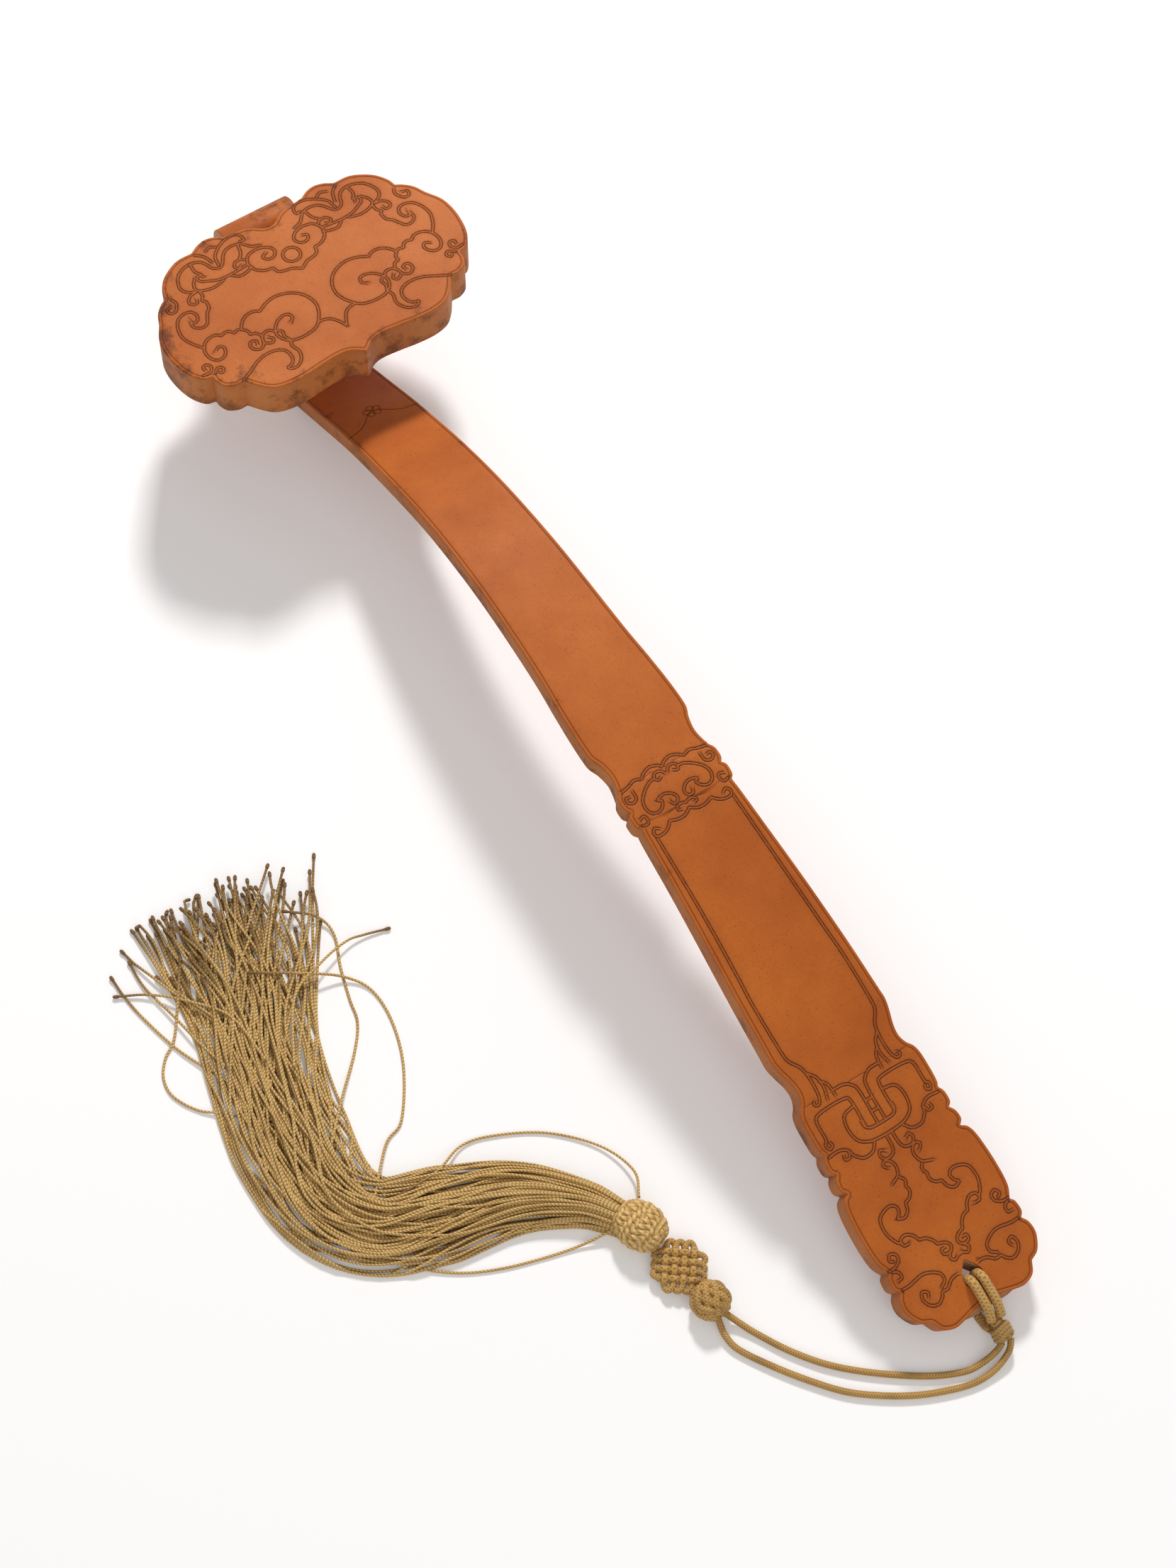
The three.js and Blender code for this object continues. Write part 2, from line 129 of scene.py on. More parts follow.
# Bamboo inner-skin veneer, hot pressed and waxed: warm orange-brown with short fine fibres,
# dark patina in the carved lines with painted shade beside them, dark marks where hands have worn it, painted shade on
# the neck under the head, satin.
# Fibres are about 0.7 mm across and 4 mm long, pores 0.5 mm, drawn a little coarser than real.
def bambooVeneer(name, base, deep, dark, roughness, wornBy):
    material, tree = newMaterial(name)
    place = addNode(tree, "ShaderNodeTexCoord").outputs["Object"]
    fibres = addNode(tree, "ShaderNodeMapping", {"Scale": (1400, 260, 1400)}, {"Vector": place})
    grain = addNode(
        tree, "ShaderNodeTexNoise", {"Scale": 1.0, "Detail": 3.0, "Roughness": 0.6},
        {"Vector": fibres.outputs["Vector"]},
    ).outputs["Fac"]
    clouds = addNode(
        tree, "ShaderNodeTexNoise", {"Scale": 30.0, "Detail": 4.0, "Roughness": 0.6}, {"Vector": place},
    ).outputs["Fac"]
    pores = addNode(
        tree, "ShaderNodeTexNoise", {"Scale": 1900.0, "Detail": 2.0, "Roughness": 0.6},
        {"Vector": place},
    ).outputs["Fac"]
    stains = addNode(
        tree, "ShaderNodeTexNoise", {"Scale": 150.0, "Detail": 6.0, "Roughness": 0.74},
        {"Vector": place},
    ).outputs["Fac"]
    tone = addNode(tree, "ShaderNodeMapRange", {"From Min": 0.36, "From Max": 0.66}, {"Value": clouds})
    colour = mixColours(tree, tone.outputs["Result"], toLinear(base), toLinear(deep))
    fleck = addNode(
        tree, "ShaderNodeMapRange", {"From Min": 0.5, "From Max": 0.75, "To Max": 0.4}, {"Value": grain},
    )
    colour = mixColours(tree, fleck.outputs["Result"], colour, toLinear(deep))
    pore = addNode(
        tree, "ShaderNodeMapRange", {"From Min": 0.6, "From Max": 0.75, "To Max": 0.5}, {"Value": pores},
    )
    colour = mixColours(tree, pore.outputs["Result"], colour, toLinear(dark))
    # Hand-worn places let the stains through, and so does the painted shade on the neck under the head: there the
    # threshold of the stain noise is lower
    wornAndShaded = addNode(tree, "ShaderNodeAttribute", {"attribute_name": "wearAndShade"}).outputs["Fac"]
    lowered = addNode(tree, "ShaderNodeMath", {"operation": "MULTIPLY_ADD"}, {0: wornAndShaded, 2: stains})
    lowered.inputs[1].default_value = 0.24
    patch = addNode(tree, "ShaderNodeMath", {"operation": "MULTIPLY_ADD"}, {0: clouds})
    patch.inputs[1].default_value = 0.35
    tree.links.new(lowered.outputs["Value"], patch.inputs[2])
    smudge = addNode(
        tree, "ShaderNodeMapRange", {"From Min": 0.86 - wornBy, "From Max": 1.02 - wornBy, "To Max": 0.72},
        {"Value": patch.outputs["Value"]},
    )
    colour = mixColours(tree, smudge.outputs["Result"], colour, toLinear(dark))
    # Dark patina in the cuts and the rim groove, with painted shade beside the cuts
    groove = addNode(tree, "ShaderNodeAttribute", {"attribute_name": "patinaAndShade"}).outputs["Fac"]
    colour = mixColours(tree, groove, colour, toLinear(dark))
    rough = addNode(
        tree, "ShaderNodeMapRange", {"To Min": roughness - 0.07, "To Max": roughness + 0.12},
        {"Value": clouds},
    )
    bump = addNode(tree, "ShaderNodeBump", {"Strength": 0.14, "Distance": 0.0002}, {"Height": grain})
    shader = addNode(
        tree, "ShaderNodeBsdfPrincipled", {"IOR": 1.47, "Specular IOR Level": 0.16},
        {"Base Color": colour, "Roughness": rough.outputs["Result"], "Normal": bump.outputs["Normal"]},
    )
    finishMaterial(tree, shader)
    return material


# Cut bamboo at the roll's ends and inside: pale, with close rings about 0.8 mm apart
def cutWood(name, base, deep):
    material, tree = newMaterial(name)
    place = addNode(tree, "ShaderNodeTexCoord").outputs["Object"]
    centred = addNode(
        tree, "ShaderNodeMapping",
        {"Location": (0, -(roll["y"] + shift) * mm, -roll["z"] * mm)}, {"Vector": place},
    )
    rings = addNode(
        tree, "ShaderNodeTexWave",
        {"wave_type": "RINGS", "rings_direction": "X", "Scale": 380.0, "Distortion": 3.0,
         "Detail": 3.0}, {"Vector": centred.outputs["Vector"]},
    )
    colour = mixColours(tree, rings.outputs["Fac"], toLinear(base), toLinear(deep))
    shader = addNode(
        tree, "ShaderNodeBsdfPrincipled", {"IOR": 1.47, "Roughness": 0.6}, {"Base Color": colour},
    )
    finishMaterial(tree, shader)
    return material


# Silk: golden tan threads with painted shade between them, and a soft sheen.
# U of the UV map runs once round the cord and V along it in cord diameters, so the plies are
# waves of (plies x U + V / lay). A braid is two such sets that cross.
def silk(name, base, deep, tip, plies, lay, braided):
    material, tree = newMaterial(name)
    uv = addNode(tree, "ShaderNodeUVMap", {"uv_map": "cord"}).outputs["UV"]
    axes = addNode(tree, "ShaderNodeSeparateXYZ", links={"Vector": uv})
    waves = []
    for way in ((1, -1) if braided else (1,)):
        around = addNode(tree, "ShaderNodeMath", {"operation": "MULTIPLY"}, {0: axes.outputs["X"]})
        around.inputs[1].default_value = 2 * math.pi * plies * way
        phase = addNode(
            tree, "ShaderNodeMath", {"operation": "MULTIPLY_ADD"},
            {0: axes.outputs["Y"], 2: around.outputs["Value"]},
        )
        phase.inputs[1].default_value = 2 * math.pi / lay
        waves.append(
            addNode(tree, "ShaderNodeMath", {"operation": "SINE"}, {0: phase.outputs["Value"]})
        )
    height = waves[0].outputs["Value"]
    if braided:
        both = addNode(tree, "ShaderNodeMath", {"operation": "MAXIMUM"}, {0: height})
        tree.links.new(waves[1].outputs["Value"], both.inputs[1])
        height = both.outputs["Value"]
    shade = addNode(
        tree, "ShaderNodeMapRange", {"From Min": -1.0, "From Max": 0.25, "To Min": 0.25}, {"Value": height},
    )
    colour = mixColours(tree, shade.outputs["Result"], toLinear(deep), toLinear(base))
    place = addNode(tree, "ShaderNodeTexCoord").outputs["Object"]
    patches = addNode(
        tree, "ShaderNodeTexNoise", {"Scale": 90.0, "Detail": 3.0}, {"Vector": place},
    )
    faded = addNode(
        tree, "ShaderNodeMapRange", {"From Min": 0.5, "From Max": 0.75, "To Max": 0.4},
        {"Value": patches.outputs["Fac"]},
    )
    colour = mixColours(tree, faded.outputs["Result"], colour, toLinear(deep))
    ends = addNode(tree, "ShaderNodeAttribute", {"attribute_name": "tip"}).outputs["Fac"]
    colour = mixColours(tree, ends, colour, toLinear(tip))
    bump = addNode(tree, "ShaderNodeBump", {"Strength": 0.6, "Distance": 0.0002}, {"Height": height})
    shader = addNode(
        tree, "ShaderNodeBsdfPrincipled",
        {"IOR": 1.5, "Roughness": 0.5, "Specular IOR Level": 0.4, "Sheen Weight": 0.25,
         "Sheen Roughness": 0.4, "Sheen Tint": toLinear("#E2CDA0")},
        {"Base Color": colour, "Normal": bump.outputs["Normal"]},
    )
    finishMaterial(tree, shader)
    return material


# Sizes of the sceptre, repeated from the part, in millimetres
shift = -200.89  # Y of the foot's reference point
shaft = {
    "thin": 6.5, "thick": 9.0, "taperStart": 70.0, "taperEnd": 330.0,
    "footEnd": -4.2, "straightEnd": 372.0,
    "curlRadius": 33.2, "curlCentre": 377.5, "curlEnd": 9.7,
    "slotHalf": 3.4, "slotFront": 1.8, "slotBack": 10.6,
}
roll = {"radius": 7.0, "y": 403.7, "z": 38.8, "length": 26.0, "cap": 0.9}
head = {"thick": 13.0, "tilt": 6.1, "y": 371.6, "z": 53.8, "saddle": 25.5}
topLine = [
    (-20, 6.4), (0, 12.8), (17.6, 18.4), (48.2, 26.9), (67.2, 32.8), (88, 38.9), (126, 47.8),
    (159, 53.2), (172.3, 54.7), (203.1, 56.3), (236.3, 56.4), (258.4, 54.6), (282.3, 49.6),
    (304.4, 41.6), (328.9, 30.2), (350, 18.2), (364, 10.4), (372, 7.2), (377.5, 6.5), (384, 6.5),
]
# Half-widths along the shaft; the notches are sharp, the lobes between them are round
outline = [
    (-2.0, 0), (-2.6, 4), (-3.8, 9), (-4.2, 12.5), (-2.8, 16), (0.4, 17.9), (2.1, 21), (6.2, 23.2),
    (9.8, 23), (11.9, 21.6), (13.5, 22.8), (16.6, 22.6), (18, 21.5), (21.8, 23.2), (29.1, 23.6),
    (37.3, 23.1), (41, 22), (42.5, 20.1), (44.1, 21.4), (46.7, 21.2), (48.5, 20), (49.8, 21.2),
    (52.9, 21.2), (54.7, 20.2), (57.1, 20.9), (64.3, 20.9), (67.8, 20.2), (70, 18.6),
    (72.7, 17.7), (75.9, 18), (80, 19.2), (83.3, 19.9), (87.5, 19.8), (104, 19.2), (125.5, 18),
    (142, 17), (155.4, 16.3), (160, 15.9), (161.5, 17), (164.6, 17.1), (166, 16.1),
    (167.6, 17), (170.7, 17), (172.7, 15.9), (175.7, 15.2), (178.7, 14.9), (182.7, 15.6),
    (185.7, 16.8), (188.6, 17.1), (195.6, 17), (205.8, 16.4), (218, 15.5), (236, 14.8),
    (258, 14.2), (282.5, 13.7), (304.7, 13.4), (328.7, 12.9), (345, 12.7), (360, 12.6), (372, 12.6),
]
notchPlaces = [0.4, 11.9, 18, 42.5, 48.5, 54.7, 160, 166, 172.7]
headRight = [
    (0, -33), (4, -30.2), (8, -29.5), (14, -30), (20, -30.7), (26, -30.8), (31, -29.5),
    (34.4, -26.4), (37.3, -22.3), (40.5, -22.2), (43.4, -20.6), (44.6, -18), (44.8, -15.7),
    (48, -14.6), (51, -9.6), (52.3, -2), (51.6, 5), (48.5, 10.8), (46.7, 14.6), (44.2, 17.2),
    (42, 18.6), (41.3, 21.4), (38.8, 25.2), (35, 28.1), (31, 29.7), (26, 29.8), (23, 31.5),
    (20, 32.2), (17, 31.6), (14.4, 30.1), (11.5, 29.6), (8, 29.3), (5, 28.1), (2, 26), (0, 25.5),
]
headNotches = [(0, -33), (37.3, -22.3), (44.8, -15.7), (48.5, 10.8), (42, 18.6), (26, 29.8), (14.4, 30.1)]


# A smooth curve through points, kept sharp at the corners
def smoothThrough(points, corners=(), step=0.5):
    points = [Vector((p[0], p[1])) for p in points]
    sharp = {i for i, p in enumerate(points) if any((p - Vector(c)).length < 0.05 for c in corners)}
    sharp |= {0, len(points) - 1}
    out = []
    for i in range(len(points) - 1):
        b, c = points[i], points[i + 1]
        a = points[i - 1] if i not in sharp else b * 2 - c
        d = points[i + 2] if i + 1 not in sharp else c * 2 - b
        count = max(1, round((c - b).length / step))
        for k in range(count):
            t = k / count
            out.append(
                0.5 * (2 * b + (c - a) * t + (2 * a - 5 * b + 4 * c - d) * t * t
                       + (3 * b - a - 3 * c + d) * t ** 3)
            )
    out.append(points[-1])
    return out


topSamples = smoothThrough(topLine, step=0.4)
topY = np.array([p[0] for p in topSamples])
topZ = np.array([p[1] for p in topSamples])


def heightAt(y):
    return float(np.interp(y, topY, topZ))


# A point of the shaft: sideways x, place along the shaft, depth below the top face
def shaftPoint(x, place, depth):
    if place <= shaft["straightEnd"]:
        slope = (heightAt(place + 0.8) - heightAt(place - 0.8)) / 1.6
        down = Vector((0, slope, -1)).normalized()
        top = Vector((0, place, heightAt(place)))
    else:
        inner = shaft["curlRadius"] - shaft["thin"]
        start = -math.asin((shaft["curlCentre"] - shaft["straightEnd"]) / inner) - math.pi / 2
        angle = start + (place - shaft["straightEnd"]) / inner
        down = Vector((0, math.cos(angle), math.sin(angle)))
        top = Vector((0, shaft["curlCentre"], shaft["curlRadius"])) + down * inner
    point = top + down * depth
    return Vector((x, point.y + shift, point.z)) * mm


def curlLength():
    inner = shaft["curlRadius"] - shaft["thin"]
    start = math.degrees(math.asin((shaft["curlCentre"] - shaft["straightEnd"]) / inner)) + 90
    return math.radians(start + shaft["curlEnd"] - 6) * inner


def thicknessAt(place):
    share = (place - shaft["taperStart"]) / (shaft["taperEnd"] - shaft["taperStart"])
    share = min(1, max(0, share))
    return shaft["thick"] + (shaft["thin"] - shaft["thick"]) * share


def headPoint(x, v, depth):
    tilt = math.radians(head["tilt"])
    y = head["y"] + v * math.cos(tilt) - depth * math.sin(tilt)
    z = head["z"] - v * math.sin(tilt) - depth * math.cos(tilt)
    return Vector((x, y + shift, z)) * mm


carvedVeneer = bambooVeneer("carvedBambooVeneer", "#BF6726", "#AC571F", "#331106", 0.5, 0.0)
plainVeneer = bambooVeneer("plainBambooVeneer", "#B86428", "#A0511E", "#43200E", 0.5, 0.05)
edgeVeneer = bambooVeneer("edgeBambooVeneer", "#C47A42", "#AC6635", "#5A341E", 0.54, 0.06)
endWood = cutWood("endGrainWood", "#C2926A", "#A3744E")
silkCord = silk("braidedSilkCord", "#C79B54", "#6E4A20", "#6B4A23", 4, 0.4, True)
silkStrand = silk("twistedSilkStrand", "#E2BC76", "#94682E", "#7A5628", 2, 1.3, False)
print("materials made")


# Carved lines. Each is a pair of fine cuts with a bead between; the list gives its middle line.
# Right halves only, the left ones are mirrored.
headLines = [
    [(0, -21.2), (1.1, -18.8), (2.7, -16.5), (4.7, -15.5), (6.7, -15.3)],
    [(6.7, -15.3), (4.7, -12.2), (3.7, -8.8), (4.3, -5.3), (6.3, -2.2), (9.4, -0.2), (13, 0.6),
     (16.6, -0.1), (19.8, -1.8)],
    [(19.8, -1.8), (21, -1), (23.3, -0.7), (25.7, -1.7), (27.3, -3.4), (28.1, -4.8)],
    [(28.1, -4.8), (29.3, -4.3), (30.7, -4.8)],
    [(30.7, -4.8), (31.7, -3.4), (33.1, -3), (34.4, -3.5)],
    [(34.4, -3.5), (36, -2.3), (38.4, -2.3), (40.8, -3.8), (42, -6.5), (41.8, -9.2),
     (40.4, -11), (38.4, -11.2), (36.8, -9.9), (36.2, -8), (37.2, -6.8), (38.6, -7.4)],
    [(6.7, -15.3), (8.7, -16.8), (11.8, -17.5), (15, -17.5), (17.6, -16.7), (19.4, -14.7),
     (20, -12.2), (19, -9.9), (17, -8), (14.6, -7.2), (12.9, -7.8), (12.5, -9.4), (13.6, -10.4)],
    [(20, -10.8), (18, -12.2), (18.3, -14.4), (17.5, -16.5)],
    [(17.5, -16.5), (18.2, -18.8), (17.5, -21.5), (18, -23.8), (19.4, -25.7), (21.3, -26.5),
     (23.1, -26.1), (23.6, -25.2)],
    [(23.6, -25.2), (22, -24.8), (20.8, -23.4), (20.4, -21.1), (21.3, -18.8), (23.7, -17.5),
     (26.9, -17.3), (30.1, -18.1), (33.7, -20.1), (37.5, -22.1)],
    [(20, -10.8), (21.3, -9.7), (23.3, -9.9), (24.5, -11.3), (25.2, -13.4), (26.9, -14.5),
     (28.7, -13.6), (29.1, -11.8), (28.1, -10.6), (26.6, -11.1), (26.9, -12.4)],
    [(24.6, -13.4), (22.8, -14.4), (21.7, -13.4), (22.4, -12.2)],
    [(28.1, -4.8), (26.9, -6.4), (26.8, -8)],
    [(26.8, -8), (25.1, -8.6), (24.2, -10.3)],
    [(41.6, -4.5), (43.6, -1.5), (45, 2.4), (44.4, 6.2), (42.8, 8.9), (40.4, 10.1), (38, 9.7),
     (37, 7.8), (37.6, 5.9), (39.2, 5.3), (39.7, 6.6)],
    [(40, 6), (40, 3.9), (38, 2.4), (36, 2.8), (34.8, 4.7), (33.7, 6.6)],
    [(33.7, 6.6), (32.2, 8.2), (31.8, 10.6)],
    [(31.8, 10.6), (32.6, 11.6), (31.6, 13.2), (31.5, 15.3)],
    [(32.5, 15.5), (34.8, 15.1), (36.4, 13.5), (36, 11.8), (34.4, 11.6), (33.9, 12.8)],
    [(32.5, 15.6), (34.8, 16.8), (36, 18.9), (35.5, 21.6), (33.7, 24.3), (30.9, 25.8),
     (28.1, 26.1), (25.7, 25.1), (24.4, 23.2), (23.7, 21.2), (22.1, 19.9), (20.6, 20.2),
     (19.4, 21.6), (18.2, 23.5), (16.6, 24.8), (14.2, 25.3), (11.8, 24.8), (10.2, 23.3),
     (9, 21.8), (6.3, 20.7)],
    [(28.7, 25.9), (28.9, 22.8), (27.7, 20.7)],
    [(12.2, 24.9), (13, 21.6), (14.6, 19.4)],
    [(13.4, 16.2), (16.6, 15.9), (20.6, 15.6), (24.5, 16), (27.5, 17.4), (29.3, 18.5),
     (29.6, 20.1), (28.4, 20.6), (27.6, 19.4)],
    [(13, 14.7), (15, 13.8), (17.8, 13.5), (19.8, 15)],
    [(22.9, 15), (26.5, 14.1), (30.1, 14.7), (32.1, 16.2), (31.7, 18.5), (30.1, 20.5)],
    [(13.4, 18.2), (14.6, 19.2), (16.6, 18.9), (17.5, 17.4), (16.6, 16.4), (15.5, 17)],
    [(0, 5.5), (2.7, 7.2), (5.9, 7.9), (7.2, 8.9), (7.6, 10.7)],
    [(7.6, 10.7), (9.8, 11), (11.8, 12.2), (13, 13.9), (13.4, 16.2), (12.6, 18.2), (11.4, 19.3),
     (9, 19.9), (6.7, 19.6), (4.7, 18.5), (3.7, 16.8), (4.3, 15.1), (5.9, 14.2), (7.6, 14.8),
     (8.1, 16.2), (6.9, 16.9)],
    [(11, 25.5), (9.7, 25.3), (9.6, 27), (10.6, 28.4), (12.6, 28.9), (15.4, 28.4), (18.2, 26.8),
     (20.6, 24.3), (21.3, 20.8)],
    [(18.4, 27.6), (20.2, 28.6), (22.3, 27.8)],
    [(25.9, 28.6), (23.6, 26.4), (22.4, 23)],
    [(40.6, 17.2), (40, 14.9), (41.6, 12.4), (43.4, 12.5), (43.8, 14.1), (42.4, 14.7)],
    [(47, -13.8), (44.4, -13.8), (43.3, -12.1), (44.1, -10.7), (45.5, -11.1), (45.4, -12.4)],
    [(43.4, -14.9), (41.6, -13.6), (40.4, -14.6), (41.2, -15.9), (42.2, -15.3)],
]
footLines = [
    [(13.4, 155.5), (14.2, 130), (15.2, 110), (15.8, 100), (15.8, 85.3), (15.2, 81.8),
     (13.3, 79), (12.5, 76.2), (12.4, 71.8), (12.9, 68.8), (14.1, 67.4), (15.2, 68.1), (14.6, 69)],
    [(12.5, 76.6), (10.5, 74.2), (10, 71), (10.8, 67.8)],
    [(10.3, 73), (8.6, 71), (8.2, 67.8)],
    [(7.9, 68.9), (4.7, 68.8), (2.3, 67.4), (1.3, 64.6), (1.3, 55)],
    [(5, 55.8), (5, 63.4), (6.6, 65.3), (14.6, 65.3), (17.2, 63.8), (17.4, 58.2), (18.4, 57),
     (17.8, 55.4), (16.6, 55.9), (16.8, 57)],
    [(0, 51), (5.4, 51.4), (8.8, 53.1), (10, 55.8), (10, 59), (8.8, 61.4), (5.4, 62.2)],
    [(0, 54.5), (3.7, 54.7), (5.3, 55.9), (5.4, 57.6)],
    [(0, 61.8), (1.2, 61.8)],
    [(0, 58.4), (1.2, 58.4)],
    [(1, 50.8), (1.2, 47.1), (2.3, 45.4), (4.6, 45.1), (5.8, 46.6), (5.1, 48), (3.9, 47.5)],
    [(5.1, 50.8), (7, 48.8), (10.2, 48.6), (12.5, 50.6), (13.3, 52.6), (15.8, 53.8), (19.4, 53.6)],
    [(13.3, 52), (14, 50.6), (15.4, 50.8), (15.2, 52)],
    [(5.7, 42.8), (6.6, 44), (5.4, 44.9), (3.8, 43.9), (3.3, 41.9), (4.3, 39.6), (6.9, 38.4)],
    [(4, 39), (3.1, 37.5), (3.8, 35.9)],
    [(3.8, 35.9), (3.5, 34.3), (4.7, 32.7), (6.4, 32.1)],
    [(6.4, 32.1), (7.2, 29.9), (9, 28.7), (11, 29.4)],
    [(11, 29.4), (9.8, 30.5), (9.4, 32.3), (10.9, 33.5), (13.7, 33.1), (15.8, 31.5),
     (16.3, 27.9), (15.2, 24.7), (13.7, 22.9)],
    [(12, 22), (13.5, 22.3), (13.4, 24.1), (11.3, 24.5), (9.4, 23.1), (8.6, 21.4)],
    [(8.6, 21.4), (6.6, 20.8), (5.1, 19.3), (4.5, 17.9)],
    [(4.5, 17.9), (2.3, 17.1), (1.2, 15.6), (2.3, 14.2), (4.2, 14.4), (4.5, 15.8), (3.3, 16)],
    [(2.6, 13.9), (3.3, 12.6), (2.2, 11.6), (1, 12.2)],
    [(20.6, 12.2), (17.9, 12.2), (13.3, 12.9), (10.2, 12), (8.2, 10.4), (8.2, 8.4), (10, 7.2)],
    [(14.8, 6.9), (14.4, 8.1), (16, 8.8), (16.8, 6.8), (15.6, 4.6), (13.3, 3.7), (11.3, 4.8),
     (10.4, 6), (8.6, 6), (6.3, 7.6), (4.2, 8)],
    [(21.2, 18.4), (19.2, 18.4), (17.2, 19.6), (17, 21.4), (18.6, 22.2), (19.6, 20.8), (18.6, 20)],
    [(20.6, 17.8), (19, 16.9), (18.8, 15.2), (20, 14.9)],
    [(0, 173.3), (1, 174.4), (3.5, 175.2), (6, 174.4), (7.4, 173.2)],
    [(7.4, 173.2), (9.8, 173.9), (12.2, 173.1), (14.6, 172.6)],
    [(0.4, 171.2), (1.2, 172.4), (3, 172.8), (4.1, 171.6), (3.5, 170.4), (2.3, 170.8)],
    [(4.4, 171.4), (6, 171.2), (8.5, 169.7), (10.7, 167.5), (11.5, 165), (10.7, 162.8),
     (8.8, 162), (6.9, 162.8), (6, 164.4), (7.1, 165.1)],
    [(7.1, 165.1), (6, 165.7), (4.1, 165.9), (2.3, 165), (1.3, 163.4), (2, 162.1), (3.4, 162),
     (3.9, 163)],
    [(0, 160.6), (1.1, 161), (2.7, 160.9), (3.3, 159.8), (2.3, 159.4)],
    [(0, 158.8), (2.3, 157.5), (4.8, 157.4), (7.3, 158.2)],
    [(7.3, 158.2), (9.1, 156.5), (11, 155.8), (12.9, 155.9), (13.5, 157.2), (12.6, 158.4),
     (11.4, 157.8)],
    [(11.9, 171.2), (12.1, 168.9), (13.6, 168), (15, 168.8), (14.8, 170.2), (13.5, 170.1)],
    [(15.2, 160.8), (13.6, 160.5), (12.7, 161.6), (13.2, 163.1), (14.6, 162.8)],
]
# The neck has one fine line with a small knot of petals in its middle
neckLines = [
    [(2.2, 334.6), (5, 331.6), (8, 329.6), (12.6, 328.6)],
]
neckKnot = {"x": 0, "y": 335.4, "petals": 5, "reach": 2.5, "width": 1.1}
# Beside each line a soft band of painted shade stands for the ground sloping down into the cut
carving = {
    "half": 0.4, "cut": 0.125, "depth": 0.24, "lineShade": 0.2, "single": 0.13,
    "rim": 1.05, "rimCut": 0.13, "rimDepth": 0.2, "bead": 0.55, "round": 0.35,
}


# Distance from many points to many polylines, worked out with a tree of their close samples
def sampleLines(lines, step=0.12):
    samples = []
    for line in lines:
        for p in smoothThrough(line, step=step):
            samples.append(p)
            samples.append(Vector((-p.x, p.y)))
    return samples


def treeOf(samples):
    tree = KDTree(len(samples))
    for i, p in enumerate(samples):
        tree.insert((p.x, p.y, 0), i)
    tree.balance()
    return tree


def insideMask(points, loop):
    xs = np.array([p[0] for p in points])
    ys = np.array([p[1] for p in points])
    inside = np.zeros(len(points), bool)
    for a, b in zip(loop, loop[1:] + loop[:1]):
        if a[1] != b[1]:
            at = (b[0] - a[0]) * (ys - a[1]) / (b[1] - a[1]) + a[0]
            inside ^= ((a[1] > ys) != (b[1] > ys)) & (xs < at)
    return inside


# Points beside each line, closest where its two cuts are
asides = (0, 0.2, 0.3, 0.4, 0.5, 0.62, 0.9)
insets = (0.12, 0.3, 0.6, 0.9, 1.05, 1.2, 1.5)


def besideLines(lines, mirrored):
    out = []
    for line in lines:
        path = smoothThrough(line, step=0.36)
        for i, p in enumerate(path):
            run = (path[min(i + 1, len(path) - 1)] - path[max(i - 1, 0)]).normalized()
            side = Vector((-run.y, run.x))
            for aside in asides:
                for sign in ((1, -1) if aside else (1,)):
                    q = p + side * (aside * sign)
                    out.append(q)
                    if mirrored:
                        out.append(Vector((-q.x, q.y)))
    return out
